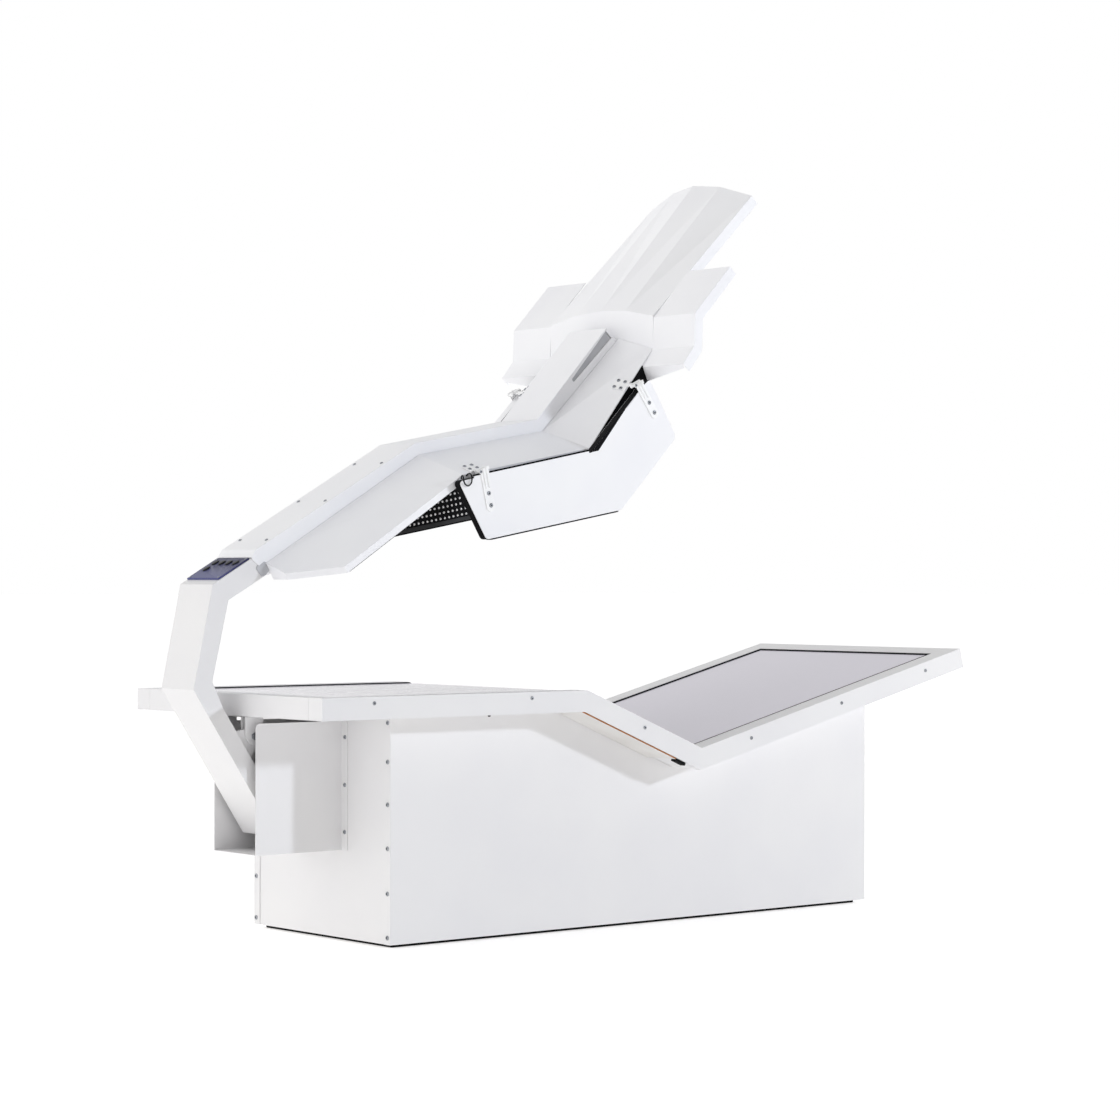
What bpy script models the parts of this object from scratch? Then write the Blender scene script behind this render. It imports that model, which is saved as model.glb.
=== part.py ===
"""A red light therapy bed: a sheet metal cabinet with a bent lying tray, and a canopy on a lift arm.

Metres, +Z up. Every piece is laid out from the cabinet's foot end: x runs to the head end, y across
the bed with the near side at -y, and z up from the floor. One empty then moves the whole bed so that
its box is centred over the origin. The canopy is drawn open.
"""
import math

import bmesh
import bpy
from mathutils import Matrix, Vector

# Fits and stock
GAP = 0.0003                  # between pieces that touch
WELD = 0.0015                 # overlap of shapes that are joined into one piece
SHEET = 0.002                 # cabinet and tray sheet
CANOPY_SHEET = 0.0025
ROUND_SIDES = 16

# Cabinet
CABINET_LENGTH = 1.709
SIDE_OVERHANG = 0.116         # of the tray, on each side
PANEL_BOTTOM = 0.010
FLOOR_SHEET = 0.003
CORNER_FLANGE = 0.026
POST = 0.025
WINDOW_COUNT = 3
RAIL_DEPTH = 0.025
CROSSBAR_PLACES = (0.060, 0.250)
FOOT_RADIUS = 0.020
FOOT_INSET = 0.050
NOTCH_WIDTH = 0.184           # opening in the foot-end sheet, for the arm
NOTCH_BOTTOM = 0.250

# Tray: its top line seen from the side, and its section
TRAY_TOP = 0.644
TRAY_OVERHANG = 0.293
TRAY_WIDTH = 0.840
FOOT_SECTION = 0.850
THIGH_SECTION, THIGH_SLOPE = 0.437, -22.2
BACK_SECTION, BACK_SLOPE = 1.057, 13.9
RIM_DEPTH = 0.056
RIM_BORDER = 0.059
RIM_INNER_WALL = 0.0125
RIM_RETURN = 0.020
EDGING = 0.0085
EDGING_TOP = 0.0006
ACRYLIC = 0.006
ACRYLIC_RECESS = 0.003
LIGHT_BOARD = 0.012
LIGHT_BOARD_MARGIN = 0.010
SECTION_SEAM = 0.001

# Arm guard on the foot-end sheet
GUARD_WIDTH = 0.189
GUARD_REACH = 0.266
GUARD_BOTTOM = 0.236
GUARD_TOP = 0.569
GUARD_CORNER = 0.012
GUARD_FLANGE = 0.024

# Arm pivot
PIVOT_X, PIVOT_Z = -0.254, 0.536
CLOSING_ANGLE = 29.0
CLEVIS_SPACING = 0.120
LUG = 0.010
LUG_FOOT = (0.075, 0.165)     # along the arm from its upper gusset corner
EAR = 0.005
EAR_CLEARANCE = 0.0008
EAR_WIDTH = 0.054
EAR_RADIUS = 0.022
PIVOT_BOLT_RADIUS = 0.006
BOLT_HEAD_RADIUS = 0.010
BOLT_HEAD = 0.007
PIVOT_PLATE = 0.006
PIVOT_PLATE_WIDTH = 0.160
PIVOT_PLATE_REACH = 0.300

# Lift arm: side view points of its faces, and its box section
ARM_WIDTH = 0.150
ARM_WALL = 0.004
ARM_SECTION = 0.048
ARM_FOOT = (-0.190, 0.280)
ARM_BEND = (-0.439, 0.657)
GUSSET_TOP = (-0.383, 0.676)
GUSSET_BOTTOM = (-0.353, 0.613)
ELBOW_OUTER = -0.155          # along the spine line from its foot end
ELBOW_INNER = -0.133
BOOM_DEPTH = 0.058
BOOM_REACH = 0.450

# Drive: a sliding rod whose cross pin works in slots in the arm's foot
DRIVE_DROP = 0.190
PIN_RADIUS = 0.008
PIN_LENGTH = 0.048
SLOT_CLEARANCE = 0.001
SLOT_SPARE = 0.002
DRIVE_LUG = 0.008
DRIVE_LUG_ENDS = (0.030, 0.100)       # up the arm from its foot
ROD_RADIUS = 0.010
ROD_EYE_RADIUS = 0.0145
ROD_EYE_WIDTH = 0.029
ROD_SLOT_ENDS = (0.015, 0.100)
TUBE_FRONT = 0.050
TUBE_LENGTH = 0.400
TUBE_RADIUS = 0.022
ROD_HOLD = 0.060
GEARBOX_LENGTH = 0.080
GEARBOX_WIDTH = 0.080
GEARBOX_HEIGHT = 0.140
GEARBOX_TOP = 0.034           # above the rod's axis
MOTOR_RADIUS = 0.028
MOTOR_LENGTH = 0.170
MOTOR_DROP = 0.066
CRADLE_PLATE = 0.008
CRADLE_WIDTH = 0.100
CRADLE_TOP = 0.040            # above the rod's axis
CRADLE_PLACES = (0.050, 0.150)        # from the tube's front end
CRADLE_TOE = 0.030

# Electrics on the cabinet floor
SUPPLY = (0.320, 0.170, 0.075)
SUPPLY_SETBACK = 0.909        # from the cabinet's head end
CONTROL_BOX = (0.240, 0.160, 0.070)
CONTROL_BOX_SETBACK = 0.409
INLET = (0.030, 0.028, 0.048)
INLET_FLANGE = 0.004
INLET_Y, INLET_Z = 0.200, 0.100

# Canopy: the spine's top line seen from the side, and the shell's section
SPINE_FOOT = (-0.255, 1.008)
CALF_LENGTH, CALF_SLOPE = 0.578, 29.45
THIGH_LENGTH, CANOPY_THIGH_SLOPE = 0.425, 10.57
TORSO_LENGTH, TORSO_SLOPE = 0.360, 46.7
SPINE_TAB = 0.022
SPINE_TAB_DROP = 0.0105
SPINE_TAB_WALL = 0.006
SPINE_WALL_MARGIN = 0.002
SPINE_END_WALL = 0.078
SPINE_END_GAP = 0.004
# Along the spine's torso part and under it
FLANK_SLOT = ((0.166, 0.011), (0.390, 0.003), (0.390, 0.034), (0.166, 0.021))
FLANK_SLOT_CORNER = 0.0045
SHELL_HALF_WIDTH = 0.243
SHELL_FOOT_HALF_WIDTH = 0.145
SHELL_START = 0.008
SHELL_CORNER = 0.115
SHELL_INNER_DROP = (0.044, 0.032, 0.034)      # below the spine line at the foot, the knee and the hip
SHELL_EDGE_DROP = (0.120, 0.090, 0.090)
SHELL_LIP = 0.018
SHELL_ROOT_GAP = 0.0013       # beside the spine, where the sheet's cut edge slopes in
CANOPY_BOARD = 0.010
CANOPY_BOARD_DROP = 0.004     # below the shell's edge
LENS = 0.004
BOARD_START = 0.125

# Head hood and shoulder wings, placed from the spine's head end
RISER_AHEAD = 0.047
RISER_ROOT_RISE = -0.0271     # where the shell meets the spine's flank
RISER_BOTTOM_RISE = (-0.0421, -0.0481, -0.0621)       # at the ridge, the fold and the edge
RISER_TOP_RISE = (0.0559, 0.0499, 0.0279)
HOOD_FOLD = 0.105
HOOD_HALF_WIDTH = 0.220
HOOD_END_FOLD = 0.100
HOOD_END_HALF_WIDTH = 0.212
HOOD_LENGTH, HOOD_SLOPE = 0.519, 47.4
HOOD_END_DROP = (0.0, 0.017, 0.055)
HOOD_EDGE_SETBACK = 0.012
HOOD_FLANGE = 0.030
WING_HALF_WIDTH = 0.390
WING_FOOT = (0.005, -0.1161)
WING_RISER_BOTTOM = (0.045, -0.0661)
WING_RISER_TOP = (0.049, 0.0239)
WING_TOP = (0.179, 0.1599)
WING_GAP = 0.0008
WING_FOOT_INSET = 0.004

# Control plate on the elbow
PLATE = 0.004
PLATE_DROP = 0.0095
PLATE_LENGTH = 0.106
PLATE_WIDTH = 0.143
PLATE_TOP_END = -0.026        # along the spine line
BUTTON_RADII = (0.0105, 0.0092)      # up the plate and across it
BUTTON_CLEARANCE = 0.0004
BUTTON_PROUD = 0.0025
BUTTON_SEAT = 0.0016
BUTTON_ROW = 0.026            # from the plate's top end
BUTTON_PITCH = 0.031
BUTTON_ROW_COUNT = 4
POWER_BUTTON = (0.057, 0.0465)       # from the plate's top end, and across

# Side light panels: side view points from the spine's hip bend, and the hinges
PANEL_OUTLINE = ((-0.4241, -0.1831), (0.0289, -0.0951), (0.2139, 0.0919), (0.2369, 0.1099),
                 (0.2659, 0.0679), (0.3369, -0.0451), (0.1359, -0.2491), (-0.3311, -0.3341))
PANEL_CORNERS = (0.010, 0.0, 0.0, 0.006, 0.010, 0.020, 0.030, 0.014)
PANEL_INNER_Y = 0.247
PANEL_MODULE = 0.021
PANEL_SKIN = 0.003
PANEL_SKIN_INSET = 0.001
HINGE_Y = 0.2585
KNUCKLE_PLACES = ((-0.3411, -0.1516), (0.1959, 0.0959))
STRAP_END_PLACES = ((-0.3151, -0.2601), (0.2609, 0.0059))
STRAP = 0.003
STRAP_WIDTH = 0.027
KNUCKLE_RADIUS = 0.006
KNUCKLE_LENGTH = 0.014
BARREL_LENGTH = 0.010
LEAF_LENGTH = 0.036
LEAF_WIDTH = 0.044
LEAF = 0.003
LEAF_LIFT = 0.0008
TONGUE_WIDTH = 0.012

WHITE = ((0.86, 0.86, 0.87), 0.40, 0.0)
BLACK = ((0.02, 0.02, 0.022), 0.55, 0.0)
STEEL = ((0.62, 0.63, 0.65), 0.35, 1.0)
CLEAR = ((0.72, 0.70, 0.74), 0.15, 0.0)
BOARD = ((0.05, 0.05, 0.06), 0.60, 0.0)
PLATE_INK = ((0.05, 0.05, 0.12), 0.35, 0.0)

for leftover in list(bpy.data.objects):
    bpy.data.objects.remove(leftover, do_unlink=True)
PARTS = bpy.data.collections.new("red_light_therapy_bed")
CUTTERS = bpy.data.collections.new("cutters")
bpy.context.scene.collection.children.link(PARTS)
bpy.context.scene.collection.children.link(CUTTERS)


# Side view lines, as (x, z) points

def walk(start, legs):
    """Points of a bent line, from a start and its legs' lengths and slopes."""
    points = [Vector(start)]
    for length, slope in legs:
        turn = math.radians(slope)
        points.append(points[-1] + Vector((math.cos(turn), math.sin(turn))) * length)
    return points


def under(first, second):
    """The unit vector square to a leg, on its lower side."""
    run = (second - first).normalized()
    return Vector((run.y, -run.x))


def mitre(before, after):
    return (before + after) / (1 + before.dot(after))


def stations(path, first=0, last=None, start_trim=0.0, end_trim=0.0):
    """Points of a path with their mitred downward offsets. The two ends can be drawn in."""
    last = len(path) - 1 if last is None else last
    normals = [under(a, b) for a, b in zip(path, path[1:])]
    offsets = [normals[0], *(mitre(a, b) for a, b in zip(normals, normals[1:])), normals[-1]]
    points = [point.copy() for point in path[first:last + 1]]
    points[0] += (path[first + 1] - path[first]).normalized() * start_trim
    points[-1] -= (path[last] - path[last - 1]).normalized() * end_trim
    return list(zip(points, offsets[first:last + 1]))


def on_leg(path, leg, along, depth=0.0):
    """The point along one leg of a path, at a depth under it."""
    start, end = path[leg], path[leg + 1]
    return start + (end - start).normalized() * along + under(start, end) * depth


def line_under(route, depth):
    return [point + offset * depth for point, offset in route]


def band(route, top, bottom):
    """The outline of a bent bar between two depths under a route."""
    return line_under(route, top) + line_under(route, bottom)[::-1]


def at(station, y, depth):
    """The 3-D point at a depth under a station, at one place across the bed."""
    flat = station[0] + station[1] * depth
    return Vector((flat.x, y, flat.y))


def between(values, share):
    return values[0] + (values[1] - values[0]) * share


def height_under(path, x, depth):
    """The height, at one x, of the line at a depth under a path."""
    line = line_under(stations(path), depth)
    for a, b in zip(line, line[1:]):
        if a.x <= x <= b.x:
            return between((a.y, b.y), (x - a.x) / (b.x - a.x))
    return line[-1].y


def roof(low_x, high_x, depth):
    """The line at a depth under the tray, from one x to another, with its bends."""
    bends = [point.x for point in line_under(stations(TRAY), depth) if low_x < point.x < high_x]
    return [Vector((x, height_under(TRAY, x, depth))) for x in (low_x, *bends, high_x)]


# Outlines

def offset_line(points, distance, closed=False):
    """A line moved to its right by a distance, with mitred corners."""
    ends = points[1:] + points[:1] if closed else points[1:]
    rights = [under(a, b) for a, b in zip(points, ends)]
    if closed:
        shifts = [mitre(rights[i - 1], rights[i]) for i in range(len(points))]
    else:
        shifts = [rights[0], *(mitre(a, b) for a, b in zip(rights, rights[1:])), rights[-1]]
    return [point + shift * distance for point, shift in zip(points, shifts)]


def thick_line(points, thickness):
    """The outline of a bent strip that lies to the right of a line, or to its left if negative."""
    points = [Vector(point) for point in points]
    return points + offset_line(points, thickness)[::-1]


def inset(points, distance):
    """A closed outline drawn in on all sides."""
    area = sum(a.cross(b) for a, b in zip(points, points[1:] + points[:1]))
    return offset_line(points, -distance if area > 0 else distance, closed=True)


def arc(centre, radius, start, end, steps):
    """Points on an arc from one angle to another, in degrees."""
    angles = [math.radians(between((start, end), i / steps)) for i in range(steps + 1)]
    return [Vector(centre) + Vector((math.cos(a), math.sin(a))) * radius for a in angles]


def rounded(points, radii, steps=5):
    """An outline with an arc at each corner that has a radius."""
    points = [Vector(point) for point in points]
    outline = []
    for i, (corner, radius) in enumerate(zip(points, radii)):
        if radius == 0:
            outline.append(corner)
            continue
        back = (points[i - 1] - corner).normalized()
        ahead = (points[(i + 1) % len(points)] - corner).normalized()
        half = back.angle(ahead) / 2
        centre = corner + (back + ahead).normalized() * radius / math.sin(half)
        first = corner + back * radius / math.tan(half) - centre
        final = corner + ahead * radius / math.tan(half) - centre
        sweep = math.atan2(first.cross(final), first.dot(final))
        outline += [centre + Matrix.Rotation(sweep * k / steps, 2) @ first for k in range(steps + 1)]
    return outline


def oval(centre, radii):
    turns = [2 * math.pi * i / ROUND_SIDES for i in range(ROUND_SIDES)]
    return [Vector(centre) + Vector((radii[0] * math.cos(t), radii[1] * math.sin(t))) for t in turns]


def rectangle(low, high):
    return [Vector(low), Vector((high[0], low[1])), Vector(high), Vector((low[0], high[1]))]


# Meshes of single shapes

def box(low, high):
    low, high = Vector(low), Vector(high)
    bm = bmesh.new()
    place = Matrix.Translation((low + high) / 2) @ Matrix.Diagonal((*(high - low), 1.0))
    bmesh.ops.create_cube(bm, size=1.0, matrix=place)
    return bm


def cylinder(start, end, radius, sides=ROUND_SIDES):
    start, end = Vector(start), Vector(end)
    turn = (end - start).to_track_quat("Z", "Y").to_matrix().to_4x4()
    bm = bmesh.new()
    bmesh.ops.create_cone(bm, cap_ends=True, segments=sides, radius1=radius, radius2=radius,
                          depth=(end - start).length, matrix=Matrix.Translation((start + end) / 2) @ turn)
    return bm


# How an outline's two axes lie in space when it is given thickness along X, Y or Z
LAID_ALONG = {
    "X": Matrix(((0, 0, 1), (1, 0, 0), (0, 1, 0))).to_4x4(),
    "Y": Matrix(((1, 0, 0), (0, 0, 1), (0, 1, 0))).to_4x4(),
    "Z": Matrix.Identity(4),
}


def plate(outline, laid, low, high, holes=()):
    """A flat outline, with holes, given thickness between two places along its third axis."""
    curve = bpy.data.curves.new("outline", "CURVE")
    curve.dimensions = "2D"
    curve.fill_mode = "BOTH"
    curve.extrude = (high - low) / 2
    for loop in (outline, *holes):
        spline = curve.splines.new("POLY")
        spline.points.add(len(loop) - 1)
        for point, corner in zip(spline.points, loop):
            point.co = (corner[0], corner[1], 0.0, 1.0)
        spline.use_cyclic_u = True
    holder = bpy.data.objects.new("outline", curve)
    CUTTERS.objects.link(holder)
    mesh = bpy.data.meshes.new_from_object(holder.evaluated_get(bpy.context.evaluated_depsgraph_get()))
    mesh.transform(laid @ Matrix.Translation((0.0, 0.0, (low + high) / 2)))
    bm = bmesh.new()
    bm.from_mesh(mesh)
    bmesh.ops.remove_doubles(bm, verts=bm.verts[:], dist=1e-6)
    bpy.data.objects.remove(holder)
    bpy.data.curves.remove(curve)
    bpy.data.meshes.remove(mesh)
    return bm


def side_plate(outline, low, high, holes=()):
    """A side view outline given thickness across the bed."""
    low, high = sorted((low, high))
    return plate(outline, LAID_ALONG["Y"], low, high, holes)


def loft(rings):
    """A closed solid through rings of like point counts."""
    bm = bmesh.new()
    rows = [[bm.verts.new(point) for point in ring] for ring in rings]
    count = len(rows[0])
    for row, after in zip(rows, rows[1:]):
        for i in range(count):
            j = (i + 1) % count
            bm.faces.new((row[i], row[j], after[j], after[i]))
    bm.faces.new(rows[0])
    bm.faces.new(rows[-1])
    return bm


def surface(rows, side=-1):
    """An open surface through rows that run away from the near side. The far side's is its mirror image."""
    bm = bmesh.new()
    grid = [[bm.verts.new(point) for point in row] for row in rows]
    for row, after in zip(grid, grid[1:]):
        for i in range(len(row) - 1):
            bm.faces.new((row[i], after[i], after[i + 1], row[i + 1]))
    bmesh.ops.triangulate(bm, faces=bm.faces[:], quad_method="SHORT_EDGE")
    if side > 0:
        bmesh.ops.scale(bm, vec=(1.0, -1.0, 1.0), verts=bm.verts[:])
        bmesh.ops.reverse_faces(bm, faces=bm.faces[:])
    return bm


# Carriers and pieces

def carrier(name, place, parent=None):
    """An empty on a joint's axis, or the one that carries the whole bed."""
    empty = bpy.data.objects.new(name, None)
    PARTS.objects.link(empty)
    empty["place"] = tuple(place)
    empty.parent = parent
    empty.location = Vector(place) - (Vector(parent["place"]) if parent else Vector())
    return empty


def coat(name, finish):
    color, roughness, metallic = finish
    material = bpy.data.materials.new(name)
    material.use_nodes = True
    shader = material.node_tree.nodes["Principled BSDF"]
    shader.inputs["Base Color"].default_value = (*color, 1.0)
    shader.inputs["Roughness"].default_value = roughness
    shader.inputs["Metallic"].default_value = metallic
    material.diffuse_color = (*color, 1.0)
    return material


def make(name, bm, finish, holder, thickness=None):
    """A named piece on its carrier. A surface is given a sheet's thickness on its inner side."""
    if thickness is None:
        bmesh.ops.recalc_face_normals(bm, faces=bm.faces[:])
    mesh = bpy.data.meshes.new(name)
    bm.to_mesh(mesh)
    bm.free()
    mesh.materials.append(coat(name, finish))
    piece = bpy.data.objects.new(name, mesh)
    PARTS.objects.link(piece)
    piece.parent = holder
    piece.location = -Vector(holder["place"])
    if thickness is None:
        mesh.shade_smooth()
        mesh.set_sharp_from_angle(angle=math.radians(35))
    else:
        solid = piece.modifiers.new("sheet", "SOLIDIFY")
        solid.thickness = thickness
        solid.offset = -1
        solid.use_even_offset = True
    return piece


def change(piece, bm, operation):
    bmesh.ops.recalc_face_normals(bm, faces=bm.faces[:])
    mesh = bpy.data.meshes.new(piece.name + "_tool")
    bm.to_mesh(mesh)
    bm.free()
    tool = bpy.data.objects.new(mesh.name, mesh)
    CUTTERS.objects.link(tool)
    tool.parent = piece.parent
    tool.location = piece.location
    tool.hide_render = True
    tool.display_type = "WIRE"
    modifier = piece.modifiers.new(operation.lower(), "BOOLEAN")
    modifier.operation = operation
    modifier.solver = "EXACT"
    modifier.object = tool


def cut(piece, bm):
    change(piece, bm, "DIFFERENCE")


def fuse(piece, bm):
    change(piece, bm, "UNION")


# Lines and levels that several pieces share
TRAY = walk((-TRAY_OVERHANG, TRAY_TOP),
            ((FOOT_SECTION, 0.0), (THIGH_SECTION, THIGH_SLOPE), (BACK_SECTION, BACK_SLOPE)))
TRAY_HALF = TRAY_WIDTH / 2
OPENING_HALF = TRAY_HALF - RIM_BORDER
PAN_BOTTOM = RIM_DEPTH - SHEET - GAP
PAN_TOP = PAN_BOTTOM - SHEET
BOARD_BOTTOM = PAN_TOP - GAP
BOARD_TOP = BOARD_BOTTOM - LIGHT_BOARD
UNDER_TRAY = PAN_BOTTOM + GAP
CABINET_HALF = TRAY_WIDTH / 2 - SIDE_OVERHANG
INSIDE_HALF = CABINET_HALF - SHEET - GAP
END_FACE = SHEET + GAP                # outer face of an end sheet, behind the corner flanges
END_INSIDE = END_FACE + SHEET + GAP
FLOOR_TOP = PANEL_BOTTOM + FLOOR_SHEET + GAP
PLATE_TOP_Z = TRAY_TOP - UNDER_TRAY
PLATE_BOTTOM_Z = PLATE_TOP_Z - PIVOT_PLATE
PIVOT = Vector((PIVOT_X, PIVOT_Z))
HALF_TURN = math.radians(CLOSING_ANGLE / 2)
PIN = PIVOT + Vector((math.tan(HALF_TURN), -1.0)) * DRIVE_DROP
LUG_GAP = ROD_EYE_WIDTH / 2 + SLOT_CLEARANCE

SPINE = walk(SPINE_FOOT, ((CALF_LENGTH, CALF_SLOPE), (THIGH_LENGTH, CANOPY_THIGH_SLOPE),
                          (TORSO_LENGTH, TORSO_SLOPE)))
CALF_UNDER = under(SPINE[0], SPINE[1])
CALF_RUN = (SPINE[1] - SPINE[0]).normalized()
PLUMB = Vector((0.0, -1.0))
SPINE_HALF = ARM_WIDTH / 2 + GAP * 2 + CANOPY_SHEET
SHELL_ROOT = SPINE_HALF + SHELL_ROOT_GAP
BOOM_TOP = PLATE_DROP + PLATE + GAP
BOOM_BOTTOM = BOOM_TOP + BOOM_DEPTH
BOARD_HALF = SHELL_HALF_WIDTH - CANOPY_SHEET - GAP * 2
BOARD_END_HALF = HOOD_HALF_WIDTH - CANOPY_SHEET - GAP * 2
HIP, SPINE_END = SPINE[2], SPINE[3]
RISER_X = SPINE_END.x + RISER_AHEAD
RISER_INNER_Z = SPINE_END.y + RISER_ROOT_RISE
RISER_BOTTOM = [SPINE_END.y + rise for rise in RISER_BOTTOM_RISE]
RISER_TOP = [SPINE_END.y + rise for rise in RISER_TOP_RISE]
KNUCKLES = [HIP + Vector(place) for place in KNUCKLE_PLACES]
STRAP_ENDS = [HIP + Vector(place) for place in STRAP_END_PLACES]
HINGE_LINE = (KNUCKLES[1] - KNUCKLES[0]).normalized()
HINGE_AXIS = Vector((HINGE_LINE.x, 0.0, HINGE_LINE.y))
SKIN_FACE = PANEL_INNER_Y + PANEL_MODULE + GAP
STRAP_FACE = SKIN_FACE + PANEL_SKIN + GAP
STRAP_BACK = STRAP_FACE + STRAP
SIDES = ((-1, "near"), (1, "far"))

# The whole bed reaches from the arm's lower bend to the lower corner of the tray's head end
HEAD_CORNER = line_under(stations(TRAY), RIM_DEPTH)[-1]
MIDDLE = (ARM_BEND[0] + HEAD_CORNER.x) / 2

bed = carrier("bed", (0.0, 0.0, 0.0))
bed.location = (-MIDDLE, 0.0, 0.0)
canopy = carrier("canopy_pivot", (PIVOT.x, 0.0, PIVOT.y), bed)
rod = carrier("rod_axis", (PIN.x, 0.0, PIN.y), bed)
swing = {}
for side, name in SIDES:
    swing[side] = carrier(f"{name}_panel_hinge", (KNUCKLES[0][0], side * HINGE_Y, KNUCKLES[0][1]), canopy)


def build_cabinet():
    beyond = CORNER_FLANGE
    line = roof(-beyond, CABINET_LENGTH + beyond, UNDER_TRAY)
    above = max(point.y for point in line) + beyond
    space = line + [Vector((line[-1].x, above)), Vector((line[0].x, above))]
    for side, name in ((-1, "front_panel"), (1, "rear_panel")):
        corner, flange = side * CABINET_HALF, side * (CABINET_HALF - CORNER_FLANGE)
        plan = ((0.0, flange), (0.0, corner), (CABINET_LENGTH, corner), (CABINET_LENGTH, flange))
        folded = plate(thick_line(plan, side * SHEET), LAID_ALONG["Z"], PANEL_BOTTOM, above - SHEET)
        panel = make(name, folded, WHITE, bed)
        cut(panel, side_plate(space, -CABINET_HALF - beyond, CABINET_HALF + beyond))

    notch = NOTCH_WIDTH / 2
    foot_end = [(-INSIDE_HALF, PANEL_BOTTOM), (INSIDE_HALF, PANEL_BOTTOM), (INSIDE_HALF, PLATE_TOP_Z),
                (notch, PLATE_TOP_Z), (notch, NOTCH_BOTTOM), (-notch, NOTCH_BOTTOM), (-notch, PLATE_TOP_Z),
                (-INSIDE_HALF, PLATE_TOP_Z)]
    make("foot_end_panel", plate(foot_end, LAID_ALONG["X"], END_FACE, END_FACE + SHEET), WHITE, bed)

    back = CABINET_LENGTH - END_FACE - SHEET
    head_end = rectangle((-INSIDE_HALF, PANEL_BOTTOM), (INSIDE_HALF, height_under(TRAY, back, UNDER_TRAY)))
    half_w, half_h = INLET[1] / 2 + GAP, INLET[2] / 2 + GAP
    window = rectangle((INLET_Y - half_w, INLET_Z - half_h), (INLET_Y + half_w, INLET_Z + half_h))
    make("head_end_panel", plate(head_end, LAID_ALONG["X"], back, back + SHEET, [window]), WHITE, bed)

    floor_end = CABINET_LENGTH - END_INSIDE
    floor = box((END_INSIDE, -INSIDE_HALF, PANEL_BOTTOM), (floor_end, INSIDE_HALF, PANEL_BOTTOM + FLOOR_SHEET))
    make("floor_sheet", floor, WHITE, bed)
    corners = [(x, y) for x in (FOOT_INSET, CABINET_LENGTH - FOOT_INSET)
               for y in (FOOT_INSET - CABINET_HALF, CABINET_HALF - FOOT_INSET)]
    for i, (x, y) in enumerate(corners, 1):
        pad = cylinder((x, y, 0.0), (x, y, PANEL_BOTTOM - GAP), FOOT_RADIUS)
        make(f"levelling_foot_{i}", pad, BLACK, bed)


def build_frame():
    start, end = END_INSIDE, CABINET_LENGTH - END_INSIDE
    outline = [Vector((start, FLOOR_TOP)), Vector((end, FLOOR_TOP))] + roof(start, end, UNDER_TRAY)[::-1]
    pitch = (end - start - POST) / WINDOW_COUNT
    sill = FLOOR_TOP + POST
    windows = []
    for i in range(WINDOW_COUNT):
        low, high = start + POST + pitch * i, start + pitch * (i + 1)
        top_edge = roof(low, high, UNDER_TRAY + RAIL_DEPTH)[::-1]
        windows.append([Vector((low, sill)), Vector((high, sill))] + top_edge)
    inner = INSIDE_HALF - POST
    frame = make("cabinet_frame", side_plate(outline, -INSIDE_HALF, -inner), STEEL, bed)
    fuse(frame, side_plate(outline, inner, INSIDE_HALF))
    for window in windows:
        cut(frame, side_plate(window, -INSIDE_HALF - WELD, INSIDE_HALF + WELD))
    top = PLATE_BOTTOM_Z - GAP
    for x in CROSSBAR_PLACES:
        fuse(frame, box((x, -inner - WELD, top - POST), (x + POST, inner + WELD, top)))


def build_guard():
    half = GUARD_WIDTH / 2
    foot = END_FACE - GAP
    wall = rounded(rectangle((-GUARD_REACH, GUARD_BOTTOM), (foot, GUARD_TOP)), (0.0, 0.0, 0.0, GUARD_CORNER))
    guard = make("arm_guard", side_plate(wall, -half, -half + SHEET), WHITE, bed)
    floor_half = half - SHEET / 2
    fuse(guard, box((-GUARD_REACH, -floor_half, GUARD_BOTTOM), (foot, floor_half, GUARD_BOTTOM + SHEET)))
    fuse(guard, side_plate(wall, half - SHEET, half))
    for side, _ in SIDES:
        low, high = sorted((side * (half - SHEET / 2), side * (half + GUARD_FLANGE)))
        fuse(guard, box((foot - SHEET, low, GUARD_BOTTOM), (foot, high, GUARD_TOP)))


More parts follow.
